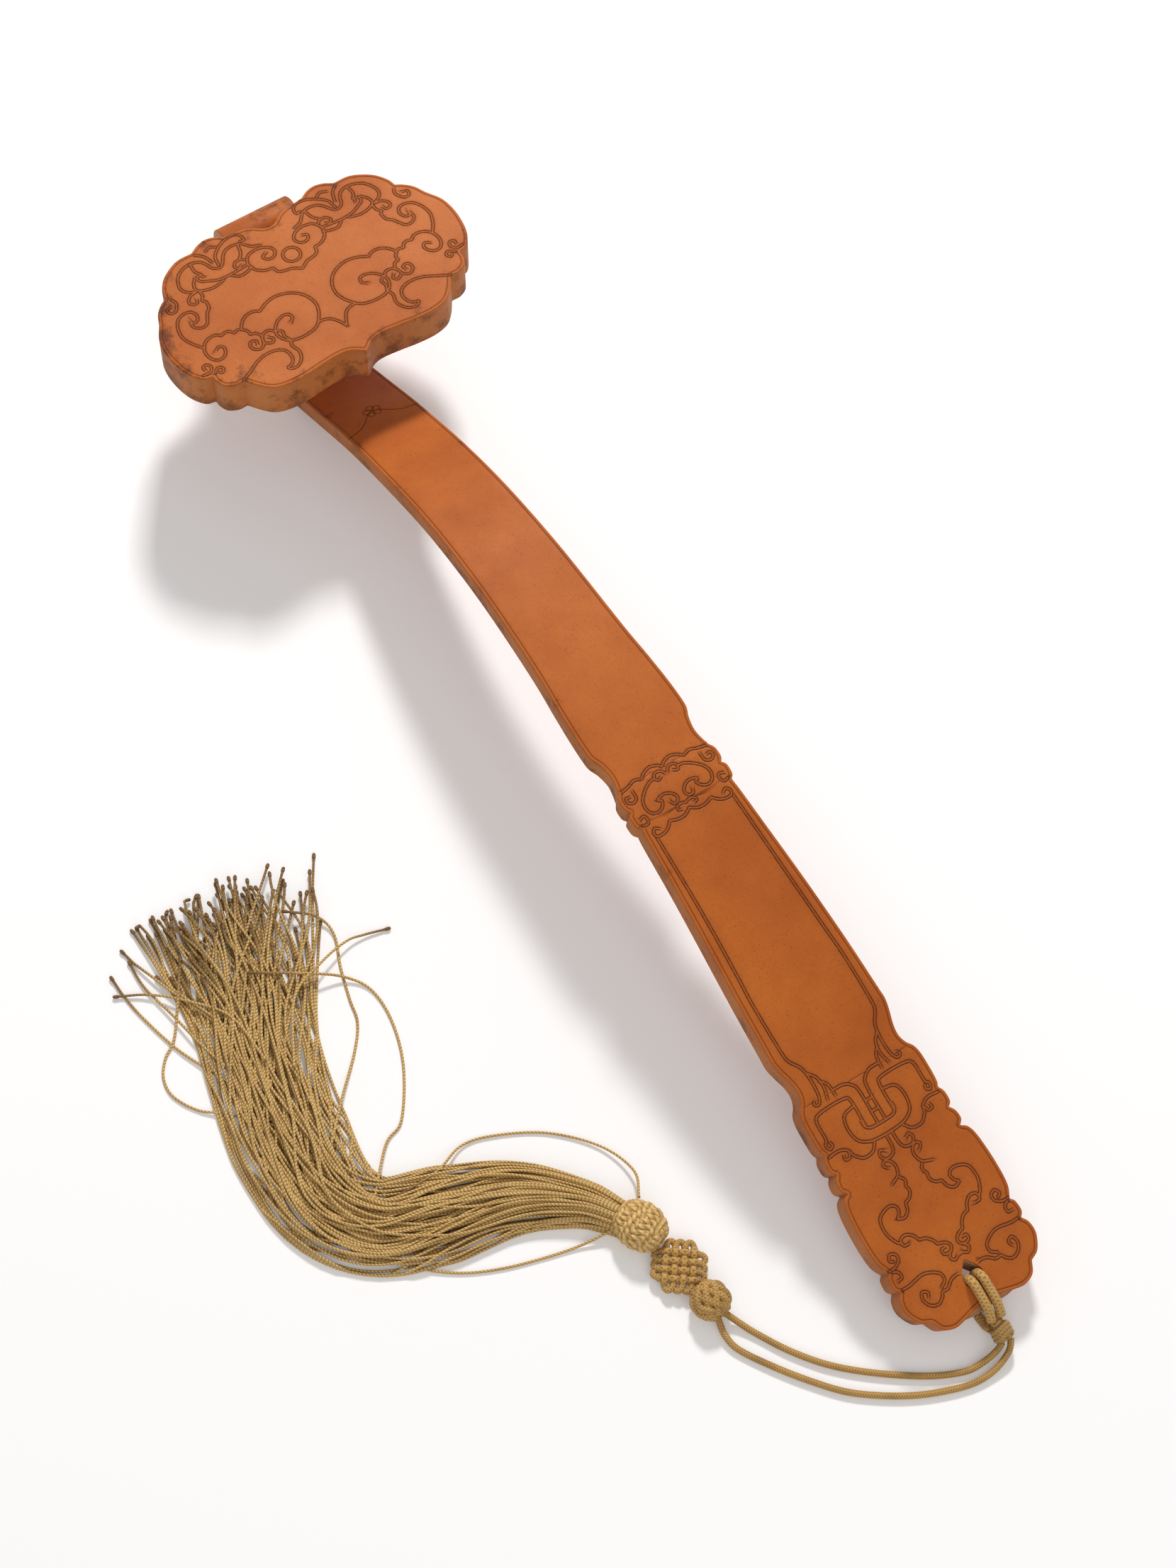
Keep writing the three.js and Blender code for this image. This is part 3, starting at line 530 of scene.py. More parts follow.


# A flat face with its carved lines: a fine triangulation that follows rim and lines.
# It gives the flat points, their depth, how dark they are with patina and painted shade beside the lines, how worn they
# are with any painted shade from wearAt, and the faces.
def carvedSheet(loop, lines, cell, hole=None, fineLines=(), dividers=(), wearAt=None, rimmed=True):
    edge = treeOf(loop)
    cuts = treeOf(sampleLines(lines) or [Vector((1e4, 1e4))])
    fine = treeOf(
        [q for line in fineLines for q in smoothThrough(line, step=0.12)] or [Vector((1e4, 1e4))]
    )
    border = list(loop) + list(hole or [])
    sides = [(i, (i + 1) % len(loop)) for i in range(len(loop))]
    if hole:
        first = len(loop)
        sides += [(first + i, first + (i + 1) % len(hole)) for i in range(len(hole))]
    wide = max(p.x for p in loop) + 1
    for y in dividers:
        sides.append((len(border), len(border) + 1))
        border += [Vector((-wide, y)), Vector((wide, y))]
    offered = []
    for i, p in enumerate(loop):
        run = (loop[(i + 1) % len(loop)] - loop[i - 1]).normalized()
        for inset in insets:
            q = p + Vector((-run.y, run.x)) * inset
            if edge.find((q.x, q.y, 0))[2] > inset * 0.92:
                offered.append(q)
    offered += besideLines(lines, True) + besideLines(fineLines, False)
    low = [min(p[k] for p in loop) for k in (0, 1)]
    high = [max(p[k] for p in loop) for k in (0, 1)]
    for r in range(int((high[1] - low[1]) / cell) + 1):
        for c in range(int((high[0] - low[0]) / cell) + 1):
            q = Vector((low[0] + (c + 0.5 * (r % 2)) * cell, low[1] + r * cell))
            if cuts.find((q.x, q.y, 0))[2] > 1.2 and edge.find((q.x, q.y, 0))[2] > 1.8:
                offered.append(q)
    kept = insideMask(offered, loop)
    if hole:
        kept &= ~insideMask(offered, hole)
    points = list(border)
    seen = set()
    for q, good in zip(offered, kept):
        key = (round(q.x / 0.12), round(q.y / 0.12))
        if good and key not in seen:
            seen.add(key)
            points.append(q)
    result = delaunay_2d_cdt(points, sides, [], 0, 1e-5)
    flat = result[0]
    middles = [sum((flat[i] for i in f), Vector((0, 0))) / len(f) for f in result[2]]
    kept = insideMask(middles, loop)
    if hole:
        kept &= ~insideMask(middles, hole)
    made = [f for f, good in zip(result[2], kept) if good]
    depths, dark, wearAndShade = [], [], []
    for p in flat:
        away = cuts.find((p.x, p.y, 0))[2]
        single = fine.find((p.x, p.y, 0))[2]
        rim = edge.find((p.x, p.y, 0))[2]
        cut = math.exp(-((away - carving["half"]) / carving["cut"]) ** 2)
        cut = max(cut, math.exp(-(single / carving["single"]) ** 2))
        groove = math.exp(-((rim - carving["rim"]) / carving["rimCut"]) ** 2) if rimmed else 0
        deep = max(carving["depth"] * cut, carving["rimDepth"] * groove)
        if rim < carving["bead"]:
            deep += carving["round"] * (1 - math.sqrt(max(0, 1 - (1 - rim / carving["bead"]) ** 2)))
        # Painted shade in a soft band beside the cuts
        lineShade = carving["lineShade"] * math.exp(-(away / 0.9) ** 2)
        depths.append(deep)
        dark.append(min(1, max(cut, 0.8 * groove) + lineShade))
        wearAndShade.append(wearAt(p, rim) if wearAt else 0)
    return flat, depths, dark, wearAndShade, made


def addAttribute(piece, name, values):
    piece.data.attributes.new(name, "FLOAT", "POINT").data.foreach_set("value", values)


# One piece of a sheet: the faces whose middle lies between two places along the object
def sheetPiece(name, sheet, placePoint, material, between=(-1e4, 1e4), flip=False):
    flat, depths, dark, wearAndShade, faces = sheet
    used, order, mine = {}, [], []
    for f in faces:
        if between[0] <= sum(flat[i].y for i in f) / len(f) < between[1]:
            for i in f:
                if i not in used:
                    used[i] = len(order)
                    order.append(i)
            mine.append(tuple(used[i] for i in (reversed(f) if flip else f)))
    piece = makePiece(name, [placePoint(flat[i].x, flat[i].y, depths[i]) for i in order], mine)
    addAttribute(piece, "patinaAndShade", [dark[i] for i in order])
    addAttribute(piece, "wearAndShade", [wearAndShade[i] for i in order])
    piece.data.materials.append(material)
    return piece


# The side wall along a run of the outline, its sharp notches kept sharp
def wallPiece(name, run, placePoint, tops, bottoms, material, wearAt=None):
    steps = (0, 0.2, 0.4, 0.6, 0.8, 1)
    points, dark, wearAndShade = [], [], []
    for i, p in enumerate(run):
        for share in steps:
            points.append(placePoint(p.x, p.y, tops + (bottoms[i] - tops) * share))
            dark.append(0.12 * (2 * share - 1) ** 4)
            wearAndShade.append(wearAt(p, share) if wearAt else 0.5)
    count = len(steps)
    faces = []
    for i in range(len(run) - 1):
        for k in range(count - 1):
            a = count * i + k
            faces.append((a, a + 1, a + count + 1, a + count))
    piece = makePiece(name, points, faces)
    addAttribute(piece, "patinaAndShade", dark)
    addAttribute(piece, "wearAndShade", wearAndShade)
    deselectAll()
    piece.select_set(True)
    bpy.context.view_layer.objects.active = piece
    bpy.ops.object.shade_smooth_by_angle(angle=math.radians(38))
    piece.data.materials.append(material)
    return piece


def mirrorRun(run):
    return [Vector((-p.x, p.y)) for p in reversed(run)]


def finishPiece(piece, slot, *nodes):
    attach(piece, "root")
    if nodes:
        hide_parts(*nodes)


# Dark hand marks gather at the rim of the head, most at its left lobes and round the saddle
def headWear(p, rim):
    left = 1.0 if p.x < -20 else 0.45
    saddle = math.exp(-((p.x / 16) ** 2 + ((p.y - 24) / 10) ** 2))
    return min(1, left * math.exp(-(rim / 7) ** 2) + 0.4 * saddle)


def buildHead():
    right = smoothThrough(headRight, headNotches, step=0.45)
    left = mirrorRun(right)
    loop = right + left[1:-1]
    circle = {"v": 12.1, "radius": 2.8}
    turns = np.linspace(-math.pi / 2, math.pi / 2, 17)
    ring = [(circle["radius"] * math.cos(a), circle["v"] + circle["radius"] * math.sin(a)) for a in turns]
    sheet = carvedSheet(loop, headLines + [ring], 1.5, wearAt=headWear)
    face = sheetPiece("headFace", sheet, headPoint, carvedVeneer)
    under = carvedSheet(loop, [], 2.4, rimmed=False)
    thick = head["thick"]
    back = sheetPiece(
        "headBack", under, lambda x, v, d: headPoint(x, v, thick - d), plainVeneer, flip=True,
    )
    finishPiece(face, "face_veneer", "head_face_veneer")
    finishPiece(back, "back_veneer", "head_back_veneer")
    for side, run in (("left", left), ("right", right)):
        bottoms = [thick - carving["round"]] * len(run)
        wall = wallPiece("headEdge_" + side, run, headPoint, carving["round"], bottoms, edgeVeneer,
                         lambda p, share: 0.35 + 0.5 * share)
        finishPiece(wall, "edge_veneer", "head_edge_veneer_" + side)
    print("head built", len(face.data.polygons))


# Shaft with foot, band and curl
def dropHole():
    r, front, tip = shaft["slotHalf"], shaft["slotFront"], shaft["slotBack"]
    arc = [Vector((r * math.cos(a), front + r + r * math.sin(a)))
           for a in np.linspace(-math.pi, 0, 21)]
    up = [Vector((r * (1 - t * t), (1 - t) ** 2 * (front + r) + 2 * t * (1 - t) * (front + r + 2)
                  + t * t * tip)) for t in np.linspace(0, 1, 11)]
    down = [Vector((-p.x, p.y)) for p in reversed(up)]
    return arc + up[1:] + down[1:-1]


# More dark smudges near the rim and at the band from wear, and painted shade rising up the neck under the head
def shaftWearAndShade(p, rim):
    # Painted shade on the neck, deepening towards the head
    neck = min(1, max(0, (p.y - 332) / 34))
    band = math.exp(-((p.y - 178) / 5) ** 2)
    return 0.3 * math.exp(-(rim / 3) ** 2) + 0.75 * neck + 0.3 * band


# Each petal of the neck's knot is a small loop
def knotPetals():
    petals = []
    for n in range(neckKnot["petals"]):
        spin = 2 * math.pi * (n + 0.25) / neckKnot["petals"]
        petal = []
        for t in np.linspace(0, 2 * math.pi, 13):
            along = neckKnot["reach"] * (1 - math.cos(t)) / 2 + 0.4
            across = neckKnot["width"] * math.sin(t)
            petal.append((
                neckKnot["x"] + along * math.cos(spin) - across * math.sin(spin),
                neckKnot["y"] + along * math.sin(spin) + across * math.cos(spin),
            ))
        petals.append(petal)
    return petals


shaftParts = {
    "footFace": ("foot_face_plaque", -1e4, 68.8),
    "lowerFace": ("shaft_face_veneer_lower", 68.8, 161),
    "bandFace": ("middle_band_plaque", 161, 173.4),
    "upperFace": ("shaft_face_veneer_upper", 173.4, 1e4),
}


def buildShaft():
    half = [(w, y) for y, w in outline]
    corners = [(w, y) for y, w in outline if y in notchPlaces]
    right = smoothThrough(half, corners, step=0.5)
    end = shaft["straightEnd"] + curlLength()
    width = outline[-1][1]
    for i in range(1, 61):
        right.append(Vector((width, shaft["straightEnd"] + (end - shaft["straightEnd"]) * i / 60)))
    right += [Vector((width * (1 - i / 12), end)) for i in range(1, 13)]
    left = mirrorRun(right)
    loop = right + left[1:-1]
    hole = dropHole()
    neck = neckLines + [[(-x, y) for x, y in line] for line in neckLines] + knotPetals()
    sheet = carvedSheet(
        loop, footLines, 2.0, hole, neck, [68.8, 161, 173.4], shaftWearAndShade,
    )
    for name, (node, low, high) in shaftParts.items():
        finishPiece(
            sheetPiece(name, sheet, shaftPoint, carvedVeneer, (low, high)), "face_veneer", node,
        )
    under = carvedSheet(loop, [], 3.0, hole, rimmed=False)
    back = sheetPiece(
        "shaftBack", under, lambda x, y, d: shaftPoint(x, y, thicknessAt(y) - d), plainVeneer, flip=True,
    )
    finishPiece(back, "back_veneer", "shaft_back_veneer")
    for side, run in (("left", left), ("right", right)):
        bottoms = [thicknessAt(p.y) - carving["round"] for p in run]
        wall = wallPiece("shaftEdge_" + side, run, shaftPoint, carving["round"], bottoms, edgeVeneer,
                         lambda p, share: 0.3 + 0.3 * share)
        finishPiece(wall, "edge_veneer", "shaft_edge_veneer_" + side)
    rim = list(reversed(hole)) + [hole[-1]]
    slotWall = wallPiece("slotWall", rim, shaftPoint, 0, [thicknessAt(p.y) for p in rim], edgeVeneer)
    finishPiece(slotWall, "edge_veneer")
    print("shaft built", len(sheet[4]))


# Roll behind the head: a cylinder added at its size, its rims bevelled
def buildRoll():
    length = roll["length"] * mm
    deselectAll()
    bpy.ops.mesh.primitive_cylinder_add(
        vertices=64, radius=roll["radius"] * mm, depth=length,
        location=(0, (roll["y"] + shift) * mm, roll["z"] * mm), rotation=(0, math.pi / 2, 0),
    )
    piece = bpy.context.object
    piece.name = "rollVeneer"
    bpy.ops.object.transform_apply(location=True, rotation=True, scale=True)
    rim = piece.modifiers.new("rim", "BEVEL")
    rim.width = 0.5 * mm
    rim.segments = 3
    bpy.ops.object.modifier_apply(modifier=rim.name)
    bpy.ops.object.shade_smooth_by_angle(angle=math.radians(35))
    addAttribute(piece, "wearAndShade", [0.8 if v.co.x > 0 else 0.3 for v in piece.data.vertices])
    piece.data.materials.append(plainVeneer)
    piece.data.materials.append(endWood)
    for face in piece.data.polygons:
        if abs(face.normal.x) > 0.9:
            face.material_index = 1
    finishPiece(piece, "face_veneer", "roll_veneer", "roll_end_cap_left", "roll_end_cap_right")
    print("roll built")


# Cords
def curvePoints(route, count):
    points = [Vector(p) for p in route]
    out = []
    for i in range(len(points) - 1):
        b, c = points[i], points[i + 1]
        a = points[i - 1] if i else b * 2 - c
        d = points[i + 2] if i + 2 < len(points) else c * 2 - b
        for k in range(12):
            t = k / 12
            out.append(0.5 * (2 * b + (c - a) * t + (2 * a - 5 * b + 4 * c - d) * t * t
                              + (3 * b - a - 3 * c + d) * t ** 3))
    out.append(points[-1])
    lengths = [0]
    for p, q in zip(out, out[1:]):
        lengths.append(lengths[-1] + (q - p).length)
    places = np.linspace(0, lengths[-1], count)
    return [Vector([float(np.interp(s, lengths, [p[k] for p in out])) for k in range(3)])
            for s in places]


def tubeData(path, radius, sides, taper=None, flatten=1.0):
    points = []
    uv = []
    normal = Vector((0, 0, 1))
    travelled = 0
    for i, p in enumerate(path):
        run = (path[min(i + 1, len(path) - 1)] - path[max(i - 1, 0)]).normalized()
        normal = (normal - run * normal.dot(run))
        normal = normal.normalized() if normal.length > 1e-6 else run.orthogonal().normalized()
        side = run.cross(normal)
        if i:
            travelled += (p - path[i - 1]).length
        r = radius * (taper(i / (len(path) - 1)) if taper else 1)
        for k in range(sides):
            turn = 2 * math.pi * k / sides
            points.append(p + side * (r * math.cos(turn)) + normal * (r * math.sin(turn) * flatten))
            uv.append((k / sides, travelled / (2 * radius)))
    faces = []
    for i in range(len(path) - 1):
        for k in range(sides):
            a, b = sides * i + k, sides * i + (k + 1) % sides
            faces.append((a, b, b + sides, a + sides))
    faces.append(tuple(reversed(range(sides))))
    last = sides * (len(path) - 1)
    faces.append(tuple(range(last, last + sides)))
    return points, faces, uv


# What lies on the floor rests on it: no centre line is lower than the cord's radius
def onFloor(path, radius):
    return [Vector((p.x, p.y, max(p.z, radius + 0.05 * mm))) for p in path]


def addTubes(name, tubes, material):
    points, faces, uv = [], [], []
    for p, f, u in tubes:
        first = len(points)
        points += p
        uv += u
        faces += [tuple(i + first for i in face) for face in f]
    piece = makePiece(name, points, faces)
    layer = piece.data.uv_layers.new(name="cord")
    for loopItem in piece.data.loops:
        layer.data[loopItem.index].uv = uv[loopItem.vertex_index]
    piece.data.materials.append(material)
    return piece


def place(points):
    return [Vector((x, y + shift, z)) * mm for x, y, z in points]


legs = {
    "left": [
        (-1.4, -13.6, 4.8), (-4, -14.6, 3.4), (-9, -15, 1.8), (-15, -14.2, 1.1), (-25, -9.4, 1.1),
        (-37.5, -0.4, 1.1), (-46.9, 8.2, 1.1), (-54.1, 17.6, 1.1), (-59.4, 27, 1.1),
        (-61.9, 32, 1.7), (-63.6, 35.4, 2.7), (-64.6, 37.2, 3.6),
    ],
    "right": [
        (1.6, -13.8, 4.8), (-1, -16.6, 3.2), (-7, -18.6, 1.6), (-14, -18.6, 1.1),
        (-21.8, -16.4, 1.1), (-30.6, -12.6, 1.1), (-39.4, -7.2, 1.1), (-47.4, -0.8, 1.1),
        (-54.4, 7.4, 1.1), (-60.6, 16, 1.1), (-66.4, 25.6, 1.1), (-67.6, 31, 1.8), (-67.1, 35, 2.7), (-66.6, 37.3, 3.6),
    ],
    "diameter": 2.0,
}


def pathLength(path):
    return sum((q - p).length for p, q in zip(path, path[1:]))


def buildLegs():
    for side in ("left", "right"):
        path = onFloor(curvePoints(place(legs[side]), 160), legs["diameter"] / 2 * mm)
        piece = addTubes(
            "cordLeg_" + side, [tubeData(path, legs["diameter"] / 2 * mm, 12)], silkCord,
        )
        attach(piece, "root")
        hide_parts("cord_leg_" + side)
    print("cord legs built")


loopRoute = [
    (-7.4, 9.4), (-5.9, 11.6), (-3.4, 13.7), (0.2, 15), (3.2, 15.7), (5.4, 14), (6.2, 10.6),
    (5.9, 6), (4.3, 2.6), (1.2, 1.45), (-3.2, 1.45), (-6.4, 2), (-8, 3.6),
]


def buildLoop():
    for side, sign in (("left", -1), ("right", 1)):
        route = [(sign * 1.7, y, z) for y, z in loopRoute]
        path = onFloor(curvePoints(place(route), 110), 1.45 * mm)
        piece = addTubes("cordLoop_" + side, [tubeData(path, 1.45 * mm, 14)], silkCord)
        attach(piece, "root")
        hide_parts("cord_loop_" + side)
    turns = []
    for i in range(3):
        centre = Vector((0, -10.2 - 1.1 * i + shift, 6.2 - 0.6 * i)) * mm
        path = []
        for k in range(41):
            turn = 2 * math.pi * k / 40
            path.append(centre + Vector((2.5 * math.cos(turn), 0.4 * math.sin(turn * 2),
                                         2.1 * math.sin(turn))) * mm)
        turns.append(tubeData(path, 0.95 * mm, 10))
    core = curvePoints(place([(0, -7.6, 7.4), (0, -10, 6.2), (0, -13.6, 4.8)]), 12)
    turns.append(tubeData(core, 2.0 * mm, 12))
    piece = addTubes("cordWrap", turns, silkCord)
    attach(piece, "root")
    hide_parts("cord_wrap")
    print("loop built")


# A woven ball: turns of cord that cross over and under each other round an ellipsoid
def wovenBall(centre, reach, cord, waves, turns, lean):
    tubes = []
    for strand in range(turns):
        path = []
        for k in range(241):
            s = k / 240
            spin = 2 * math.pi * ((waves - 1) * s + strand / turns / waves)
            lift = math.sin(2 * math.pi * waves * s) * 1.12
            out = 1 + 0.07 * math.sin(4 * math.pi * waves * (waves - 1) * s)
            p = Vector((
                reach[0] * math.cos(lift) * math.cos(spin), reach[1] * math.cos(lift) * math.sin(spin),
                reach[2] * math.sin(lift),
            ))
            path.append(centre + lean @ (p * out) * mm)
        tubes.append(tubeData(path, cord * mm, 8))
    # An ellipsoid inside closes the gaps of the weave
    points, faces, uv = [], [], []
    for i in range(17):
        up = math.pi * (i / 16 - 0.5) * 0.995
        for k in range(24):
            spin = math.pi * k / 12
            points.append(centre + lean @ Vector((
                reach[0] * math.cos(up) * math.cos(spin), reach[1] * math.cos(up) * math.sin(spin),
                reach[2] * math.sin(up),
            )) * 0.95 * mm)
            uv.append((k / 24, i / 4))
            if i:
                a, b = 24 * (i - 1) + k, 24 * (i - 1) + (k + 1) % 24
                faces.append((a, b, b + 24, a + 24))
    faces += [tuple(reversed(range(24))), tuple(range(24 * 16, 24 * 17))]
    tubes.append((points, faces, uv))
    return tubes


knots = {
    "button": {"place": (-66.1, 41.6, 4.8), "reach": (3.8, 4.9, 4.8), "cord": 1.15, "turn": 95},
    "brocade": {"place": (-67.6, 55.4, 2.7), "turn": 53, "pitch": 2.75, "half": 5.6, "ear": 2.3},
    "cap": {"place": (-71, 71, 5.4), "reach": (4.6, 6.4, 7.6), "cord": 0.8, "turn": 108},
}


# Turns a ball whose poles are on its Z, so that they lie level at an angle from X
def alongFloor(degrees):
    return Matrix.Rotation(math.radians(degrees), 3, "Z") @ Matrix.Rotation(math.pi / 2, 3, "Y")


def knotPlace(name):
    x, y, z = knots[name]["place"]
    return Vector((x, y + shift, z)) * mm


def buildKnots():
    button = knots["button"]
    turned = alongFloor(button["turn"])
    piece = addTubes(
        "buttonKnot", wovenBall(knotPlace("button"), button["reach"], button["cord"], 3, 3, turned),
        silkCord,
    )
    finishPiece(piece, "silk_cord", "button_knot")

    # The brocade knot is a flat lattice of cord, four runs each way, with ears on all sides
    brocade = knots["brocade"]
    turned = Matrix.Rotation(math.radians(brocade["turn"]), 3, "Z")
    tubes = []
    for way in (0, 1):
        for row in range(4):
            aside = (row - 1.5) * brocade["pitch"]
            path = []
            for k in range(49):
                along = (k / 24 - 1) * brocade["half"]
                wave = 0.95 * math.cos(math.pi * (along / brocade["pitch"] + 0.5 + row + way))
                flat = (along, aside, wave) if way == 0 else (aside, along, wave)
                path.append(knotPlace("brocade") + turned @ Vector(flat) * mm)
            tubes.append(tubeData(path, 1.15 * mm, 8))
    for quarter in range(4):
        quarterTurn = turned @ Matrix.Rotation(math.pi / 2 * quarter, 3, "Z")
        for pair in (-1, 0, 1):
            path = []
            for k in range(25):
                s = math.pi * k / 24
                flat = Vector((
                    brocade["half"] - 0.4 + brocade["ear"] * math.sin(s),
                    pair * brocade["pitch"] + brocade["pitch"] / 2 * math.cos(s), 0.4 * math.cos(s),
                ))
                path.append(knotPlace("brocade") + quarterTurn @ flat * mm)
            tubes.append(tubeData(path, 0.95 * mm, 8))
    piece = addTubes("brocadeKnot", tubes, silkCord)
    finishPiece(piece, "silk_cord", "brocade_knot")

    cap = knots["cap"]
    turned = alongFloor(cap["turn"])
    piece = addTubes(
        "tasselHead", wovenBall(knotPlace("cap"), cap["reach"], cap["cord"], 5, 4, turned), silkStrand,
    )
    finishPiece(piece, "silk_tassel", "tassel_head")
    print("knots built")


skirt = {
    "line": [(-71, 71), (-75.5, 79.5), (-82, 88), (-97, 99), (-118.2, 106), (-135, 112.5),
             (-143.5, 127), (-143, 147.2), (-137.4, 172), (-129, 197), (-121, 224)],
    "width": [9, 16, 24, 31, 31, 34, 37, 36, 36, 38, 40], "strands": 150, "diameter": 0.85,
    "height": 7.4, "fan": 0.74, "steps": 72,
}
# Strands that leave the bundle, by their places on the floor, and the height of each end
strays = {
    "loopRight": [(-133, 118, 5), (-119.9, 132.5, 1), (-111.9, 136.7, 0.5), (-102.4, 150.8, 0.5),
                  (-97.7, 164.7, 0.5), (-97.5, 176.5, 0.5), (-102.3, 184.1, 1.5),
                  (-111.4, 189.7, 4.5), (-126.6, 198.3, 6.5)],
    "loopLeft": [(-141, 150, 4), (-154.2, 164.8, 1.5), (-161, 171, 0.5), (-165, 178.6, 0.5),
                 (-164.5, 184.9, 0.5), (-161, 189.9, 0.5), (-156.8, 192.8, 0.8),
                 (-153.5, 196.5, 1.5), (-148.6, 203.5, 3.2), (-141.6, 214, 4)],
    "innerRight": [(-134, 140, 4.5), (-123.2, 151.6, 2), (-112.6, 162.1, 0.5), (-106.6, 170, 0.5),
                   (-104.7, 177.5, 0.5), (-101.7, 187.6, 0.5), (-97.7, 198.3, 0.8),
                   (-99.6, 205.6, 2), (-107.1, 211, 4)],
    "tipRight": [(-131, 166, 6), (-119.5, 184.7, 6.4), (-106.6, 191, 4), (-96.3, 193.6, 2.4),
                 (-90.4, 193.1, 1.2), (-82.9, 191.2, 0.6)],
    "tipLeft": [(-146, 150, 2), (-149.6, 173.1, 1.2), (-156.3, 190.4, 0.6), (-160, 204.7, 0.5),
                (-161.3, 213.5, 0.5), (-161.6, 220.4, 0.8)],
    "tipLeftLow": [(-137, 172, 6.5), (-138.4, 189.5, 5.4), (-146.8, 202, 3), (-155.1, 210, 1.4),
                   (-163.5, 214.7, 0.8)],
    "tipLeftHigh": [(-143, 164, 3), (-149.1, 184.3, 2.4), (-152.3, 200.8, 1.4), (-154.8, 213, 0.8),
                    (-154.6, 221.9, 0.8)],
    "nearHead": [(-66.5, 78.5, 5), (-62.6, 87, 2.6), (-66.5, 99, 1), (-77.7, 111, 0.6),
                 (-91.8, 118.6, 0.6), (-101.5, 120.6, 1), (-111.7, 117, 3.6), (-124, 116, 5)],
    "underHead": [(-75.5, 74.5, 4), (-87.6, 76.2, 1), (-99.3, 78.9, 0.5), (-110.9, 82.5, 0.5),
                  (-121.2, 87.3, 0.5), (-130, 94, 0.8), (-137, 103, 2)],
}


# A strand with a small knot near its end, where the silk has darkened
def strandTube(path, radius, darkened):
    total = pathLength(path)
    gone = 0
    tips = []
    for i, p in enumerate(path):
        gone += (p - path[i - 1]).length if i else 0
        left = total - gone
        tips += [min(1, max(0, 1 - left / darkened)) ** 0.7] * 6
    body = tubeData(path, radius, 6)
    run = (path[-1] - path[-2]).normalized()
    bulge = [1, 1.25, 1.4, 1.45, 1.35, 1.15, 0.7]
    knot = onFloor(
        [path[-1] + run * (d * mm) for d in (-1.0, -0.7, -0.4, 0, 0.4, 0.7, 0.9)], radius * max(bulge)
    )
    end = tubeData(knot, radius, 6, lambda s: bulge[round(s * 6)])
    return [body, end], [tips, [1] * (6 * len(knot))]


def skirtStrand(line, widths):
    lane = max(-1, min(1, random.gauss(0, 0.5)))
    level = random.random()
    sways = [(random.uniform(0.1, 0.45), random.uniform(0, 6.28), random.uniform(0.7, 1.7)),
             (random.uniform(0.03, 0.16), random.uniform(0, 6.28), random.uniform(2.4, 4.6))]
    reach = random.choice((1, 1, random.uniform(0.88, 1), random.uniform(0.8, 1)))
    drift = random.uniform(-0.8, 0.8)
    flare = Vector((max(-15, min(13, random.gauss(-1, 8))), max(-8, min(5, random.gauss(-1, 5)))))
    hop = random.uniform(0, 1.2)
    path = []
    for k in range(skirt["steps"]):
        s = k / (skirt["steps"] - 1) * reach
        at = s * (len(line) - 1)
        i = min(int(at), len(line) - 2)
        centre = line[i].lerp(line[i + 1], at - i)
        run = (line[i + 1] - line[i]).normalized()
        across = lane + drift * s
        for size, phase, rate in sways:
            across += size * math.sin(phase + rate * 6.28 * s) * min(1, 2.5 * s)
        across = max(-1, min(1, across))
        width = float(np.interp(s, np.linspace(0, 1, len(widths)), widths)) / 2 - 0.6
        rise = math.sqrt(max(0, 1 - across * across))
        top = (skirt["height"] - 0.6) * (1 - 0.35 * s) * rise * level
        z = 0.5 + top + hop * math.sin(sways[0][1] * 2 + 9 * s) ** 2 * s
        loose = max(0, (s - skirt["fan"]) / (1 - skirt["fan"])) ** 1.5
        x = centre.x + run.y * across * width + flare.x * loose
        y = centre.y - run.x * across * width + flare.y * loose
        path.append(Vector((max(-161, x), min(230.5, y) + shift, min(skirt["height"] + 1.4, z))) * mm)
    return path


# About 150 twisted strands in the bundle, and nine that leave it as free cords
def buildSkirt():
    radius = skirt["diameter"] / 2 * mm
    for name, route in strays.items():
        path = onFloor(curvePoints(place(route), 120), radius)
        tubes, tips = strandTube(path, radius, 14 * mm)
        piece = addTubes("strand_" + name, tubes, silkStrand)
        addAttribute(piece, "tip", sum(tips, []))
        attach(piece, "root")
        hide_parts("tassel_skirt")
    line = curvePoints([Vector((x, y, 0)) for x, y in skirt["line"]], 90)
    tubes, tips = [], []
    for n in range(skirt["strands"]):
        more, dark = strandTube(skirtStrand(line, skirt["width"]), radius, 14 * mm)
        tubes += more
        tips += dark
    piece = addTubes("tasselStrands", tubes, silkStrand)
    addAttribute(piece, "tip", sum(tips, []))
    finishPiece(piece, "silk_tassel", "tassel_skirt")
    print("tassel built", len(piece.data.polygons))


# Plain pale floor, lit softly from behind the head
stage = {"lift": 0.15, "world": 0.38, "key": 27, "keySize": 0.26, "fill": 10}


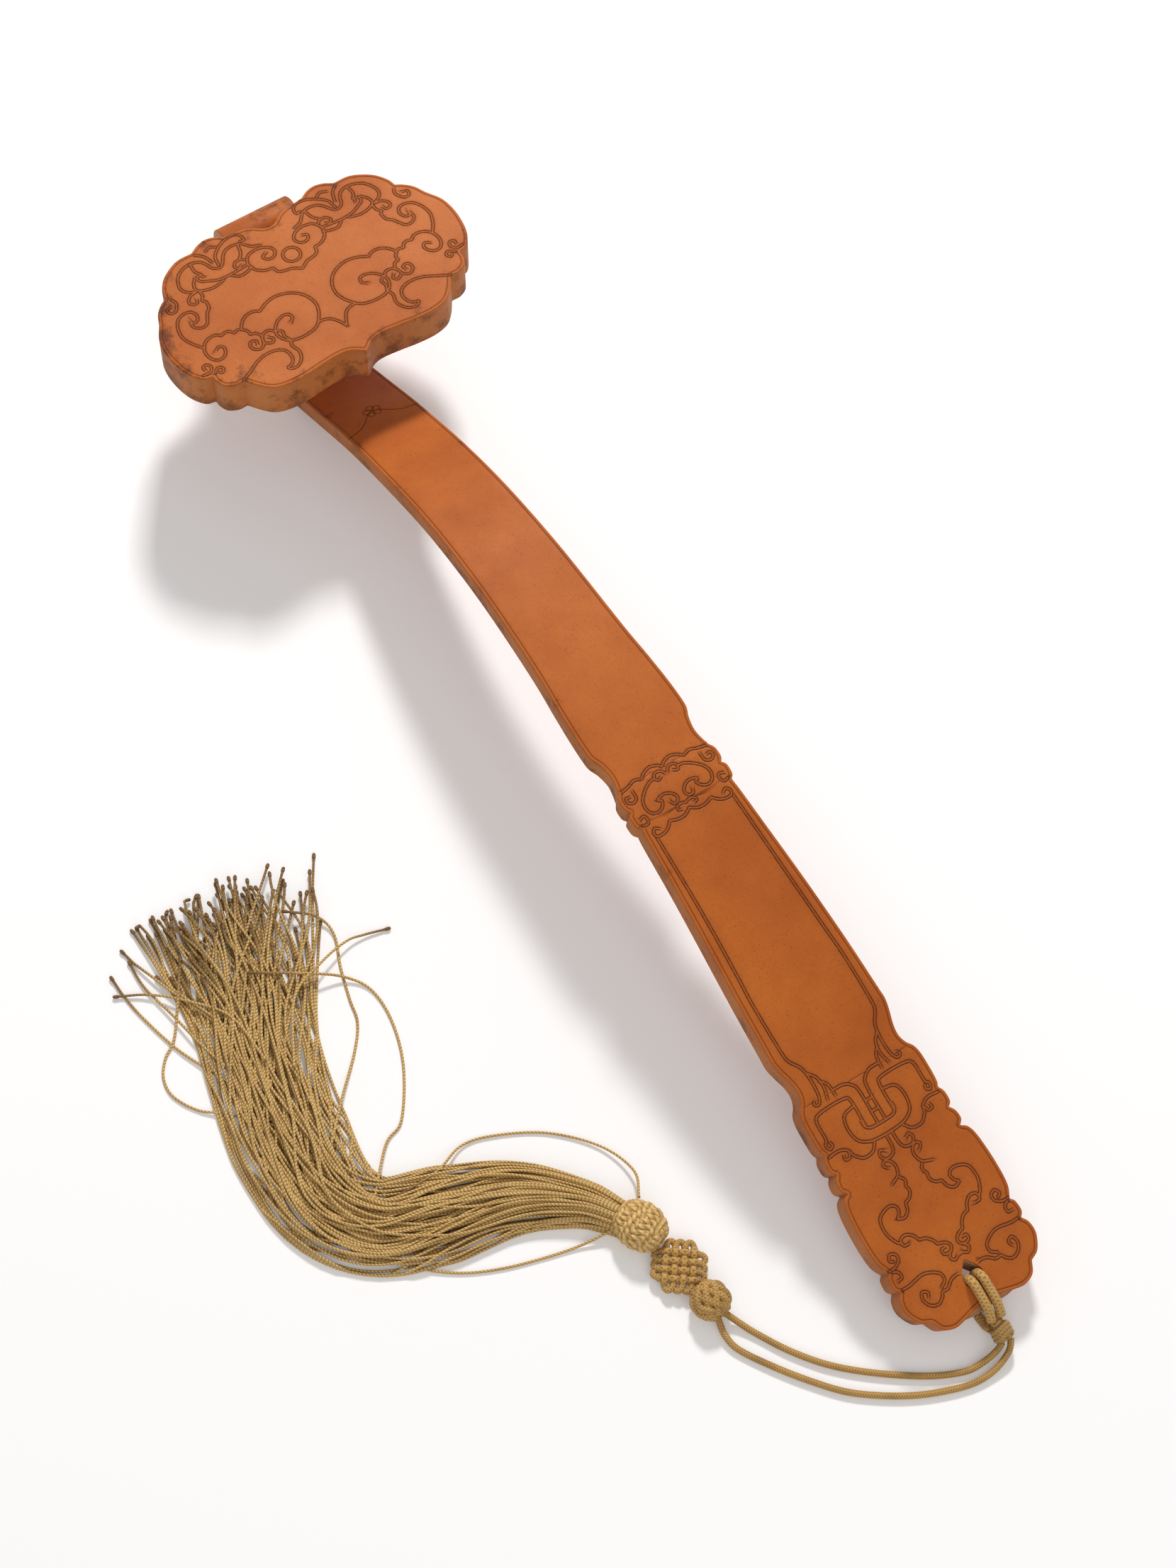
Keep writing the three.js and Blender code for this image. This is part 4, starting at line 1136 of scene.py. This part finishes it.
def buildStage():
    deselectAll()
    bpy.ops.mesh.primitive_plane_add(size=6, location=(0, 0, 0))
    floor = bpy.context.object
    floor.name = "floor"
    # The camera and mirror-like surfaces see it a little brighter, so that it is white
    # round the object and keeps the object's grey shadow
    material, tree = newMaterial("paleFloor")
    paper = addNode(
        tree, "ShaderNodeBsdfPrincipled",
        {"Base Color": toLinear("#F2F0EF"), "Roughness": 0.9, "Specular IOR Level": 0.1},
    )
    rays = addNode(tree, "ShaderNodeLightPath")
    seen = addNode(tree, "ShaderNodeMath", {"operation": "MAXIMUM"}, {0: rays.outputs["Is Camera Ray"]})
    tree.links.new(rays.outputs["Is Glossy Ray"], seen.inputs[1])
    lift = addNode(tree, "ShaderNodeMath", {"operation": "MULTIPLY"}, {0: seen.outputs["Value"]})
    lift.inputs[1].default_value = stage["lift"]
    glow = addNode(tree, "ShaderNodeEmission", links={"Strength": lift.outputs["Value"]})
    both = addNode(tree, "ShaderNodeAddShader", links={0: paper.outputs["BSDF"], 1: glow.outputs[0]})
    addNode(tree, "ShaderNodeOutputMaterial", links={"Surface": both.outputs[0]})
    floor.data.materials.append(material)


def addLamp(name, place, size, power, target=(0, 0, 0.03)):
    data = bpy.data.lights.new(name, "AREA")
    data.size = size
    data.energy = power
    lamp = bpy.data.objects.new(name, data)
    lamp.location = place
    aim = Vector(target) - Vector(place)
    lamp.rotation_euler = aim.to_track_quat("-Z", "Y").to_euler()
    bpy.context.collection.objects.link(lamp)


def buildLight():
    addLamp("keyLamp", (0.75, 1.15, 1.35), stage["keySize"], stage["key"])
    addLamp("fillLamp", (-0.5, -1.5, 1.4), 1.6, stage["fill"])
    world = bpy.data.worlds.new("paleWorld")
    bpy.context.scene.world = world
    world.use_nodes = True
    # White where it is seen, directly or in a gloss, and plain soft light elsewhere
    tree = world.node_tree
    rays = addNode(tree, "ShaderNodeLightPath")
    seen = addNode(tree, "ShaderNodeMath", {"operation": "MAXIMUM"}, {0: rays.outputs["Is Camera Ray"]})
    tree.links.new(rays.outputs["Is Glossy Ray"], seen.inputs[1])
    clear = addNode(tree, "ShaderNodeMath", {"operation": "MAXIMUM"}, {0: seen.outputs["Value"]})
    tree.links.new(rays.outputs["Is Transmission Ray"], clear.inputs[1])
    level = addNode(
        tree, "ShaderNodeMapRange", {"To Min": stage["world"], "To Max": 1.0},
        {"Value": clear.outputs["Value"]},
    )
    tree.links.new(level.outputs["Result"], tree.nodes["Background"].inputs["Strength"])
    tree.nodes["Background"].inputs["Color"].default_value = (1, 1, 1, 1)
    bpy.context.scene.view_settings.view_transform = "Standard"


buildLegs()
buildLoop()
buildKnots()
buildSkirt()
buildHead()
buildShaft()
buildRoll()
buildStage()
buildLight()
for node in ("shaft_core", "head_core", "roll_core"):
    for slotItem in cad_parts[node].material_slots:
        slotItem.material = endWood
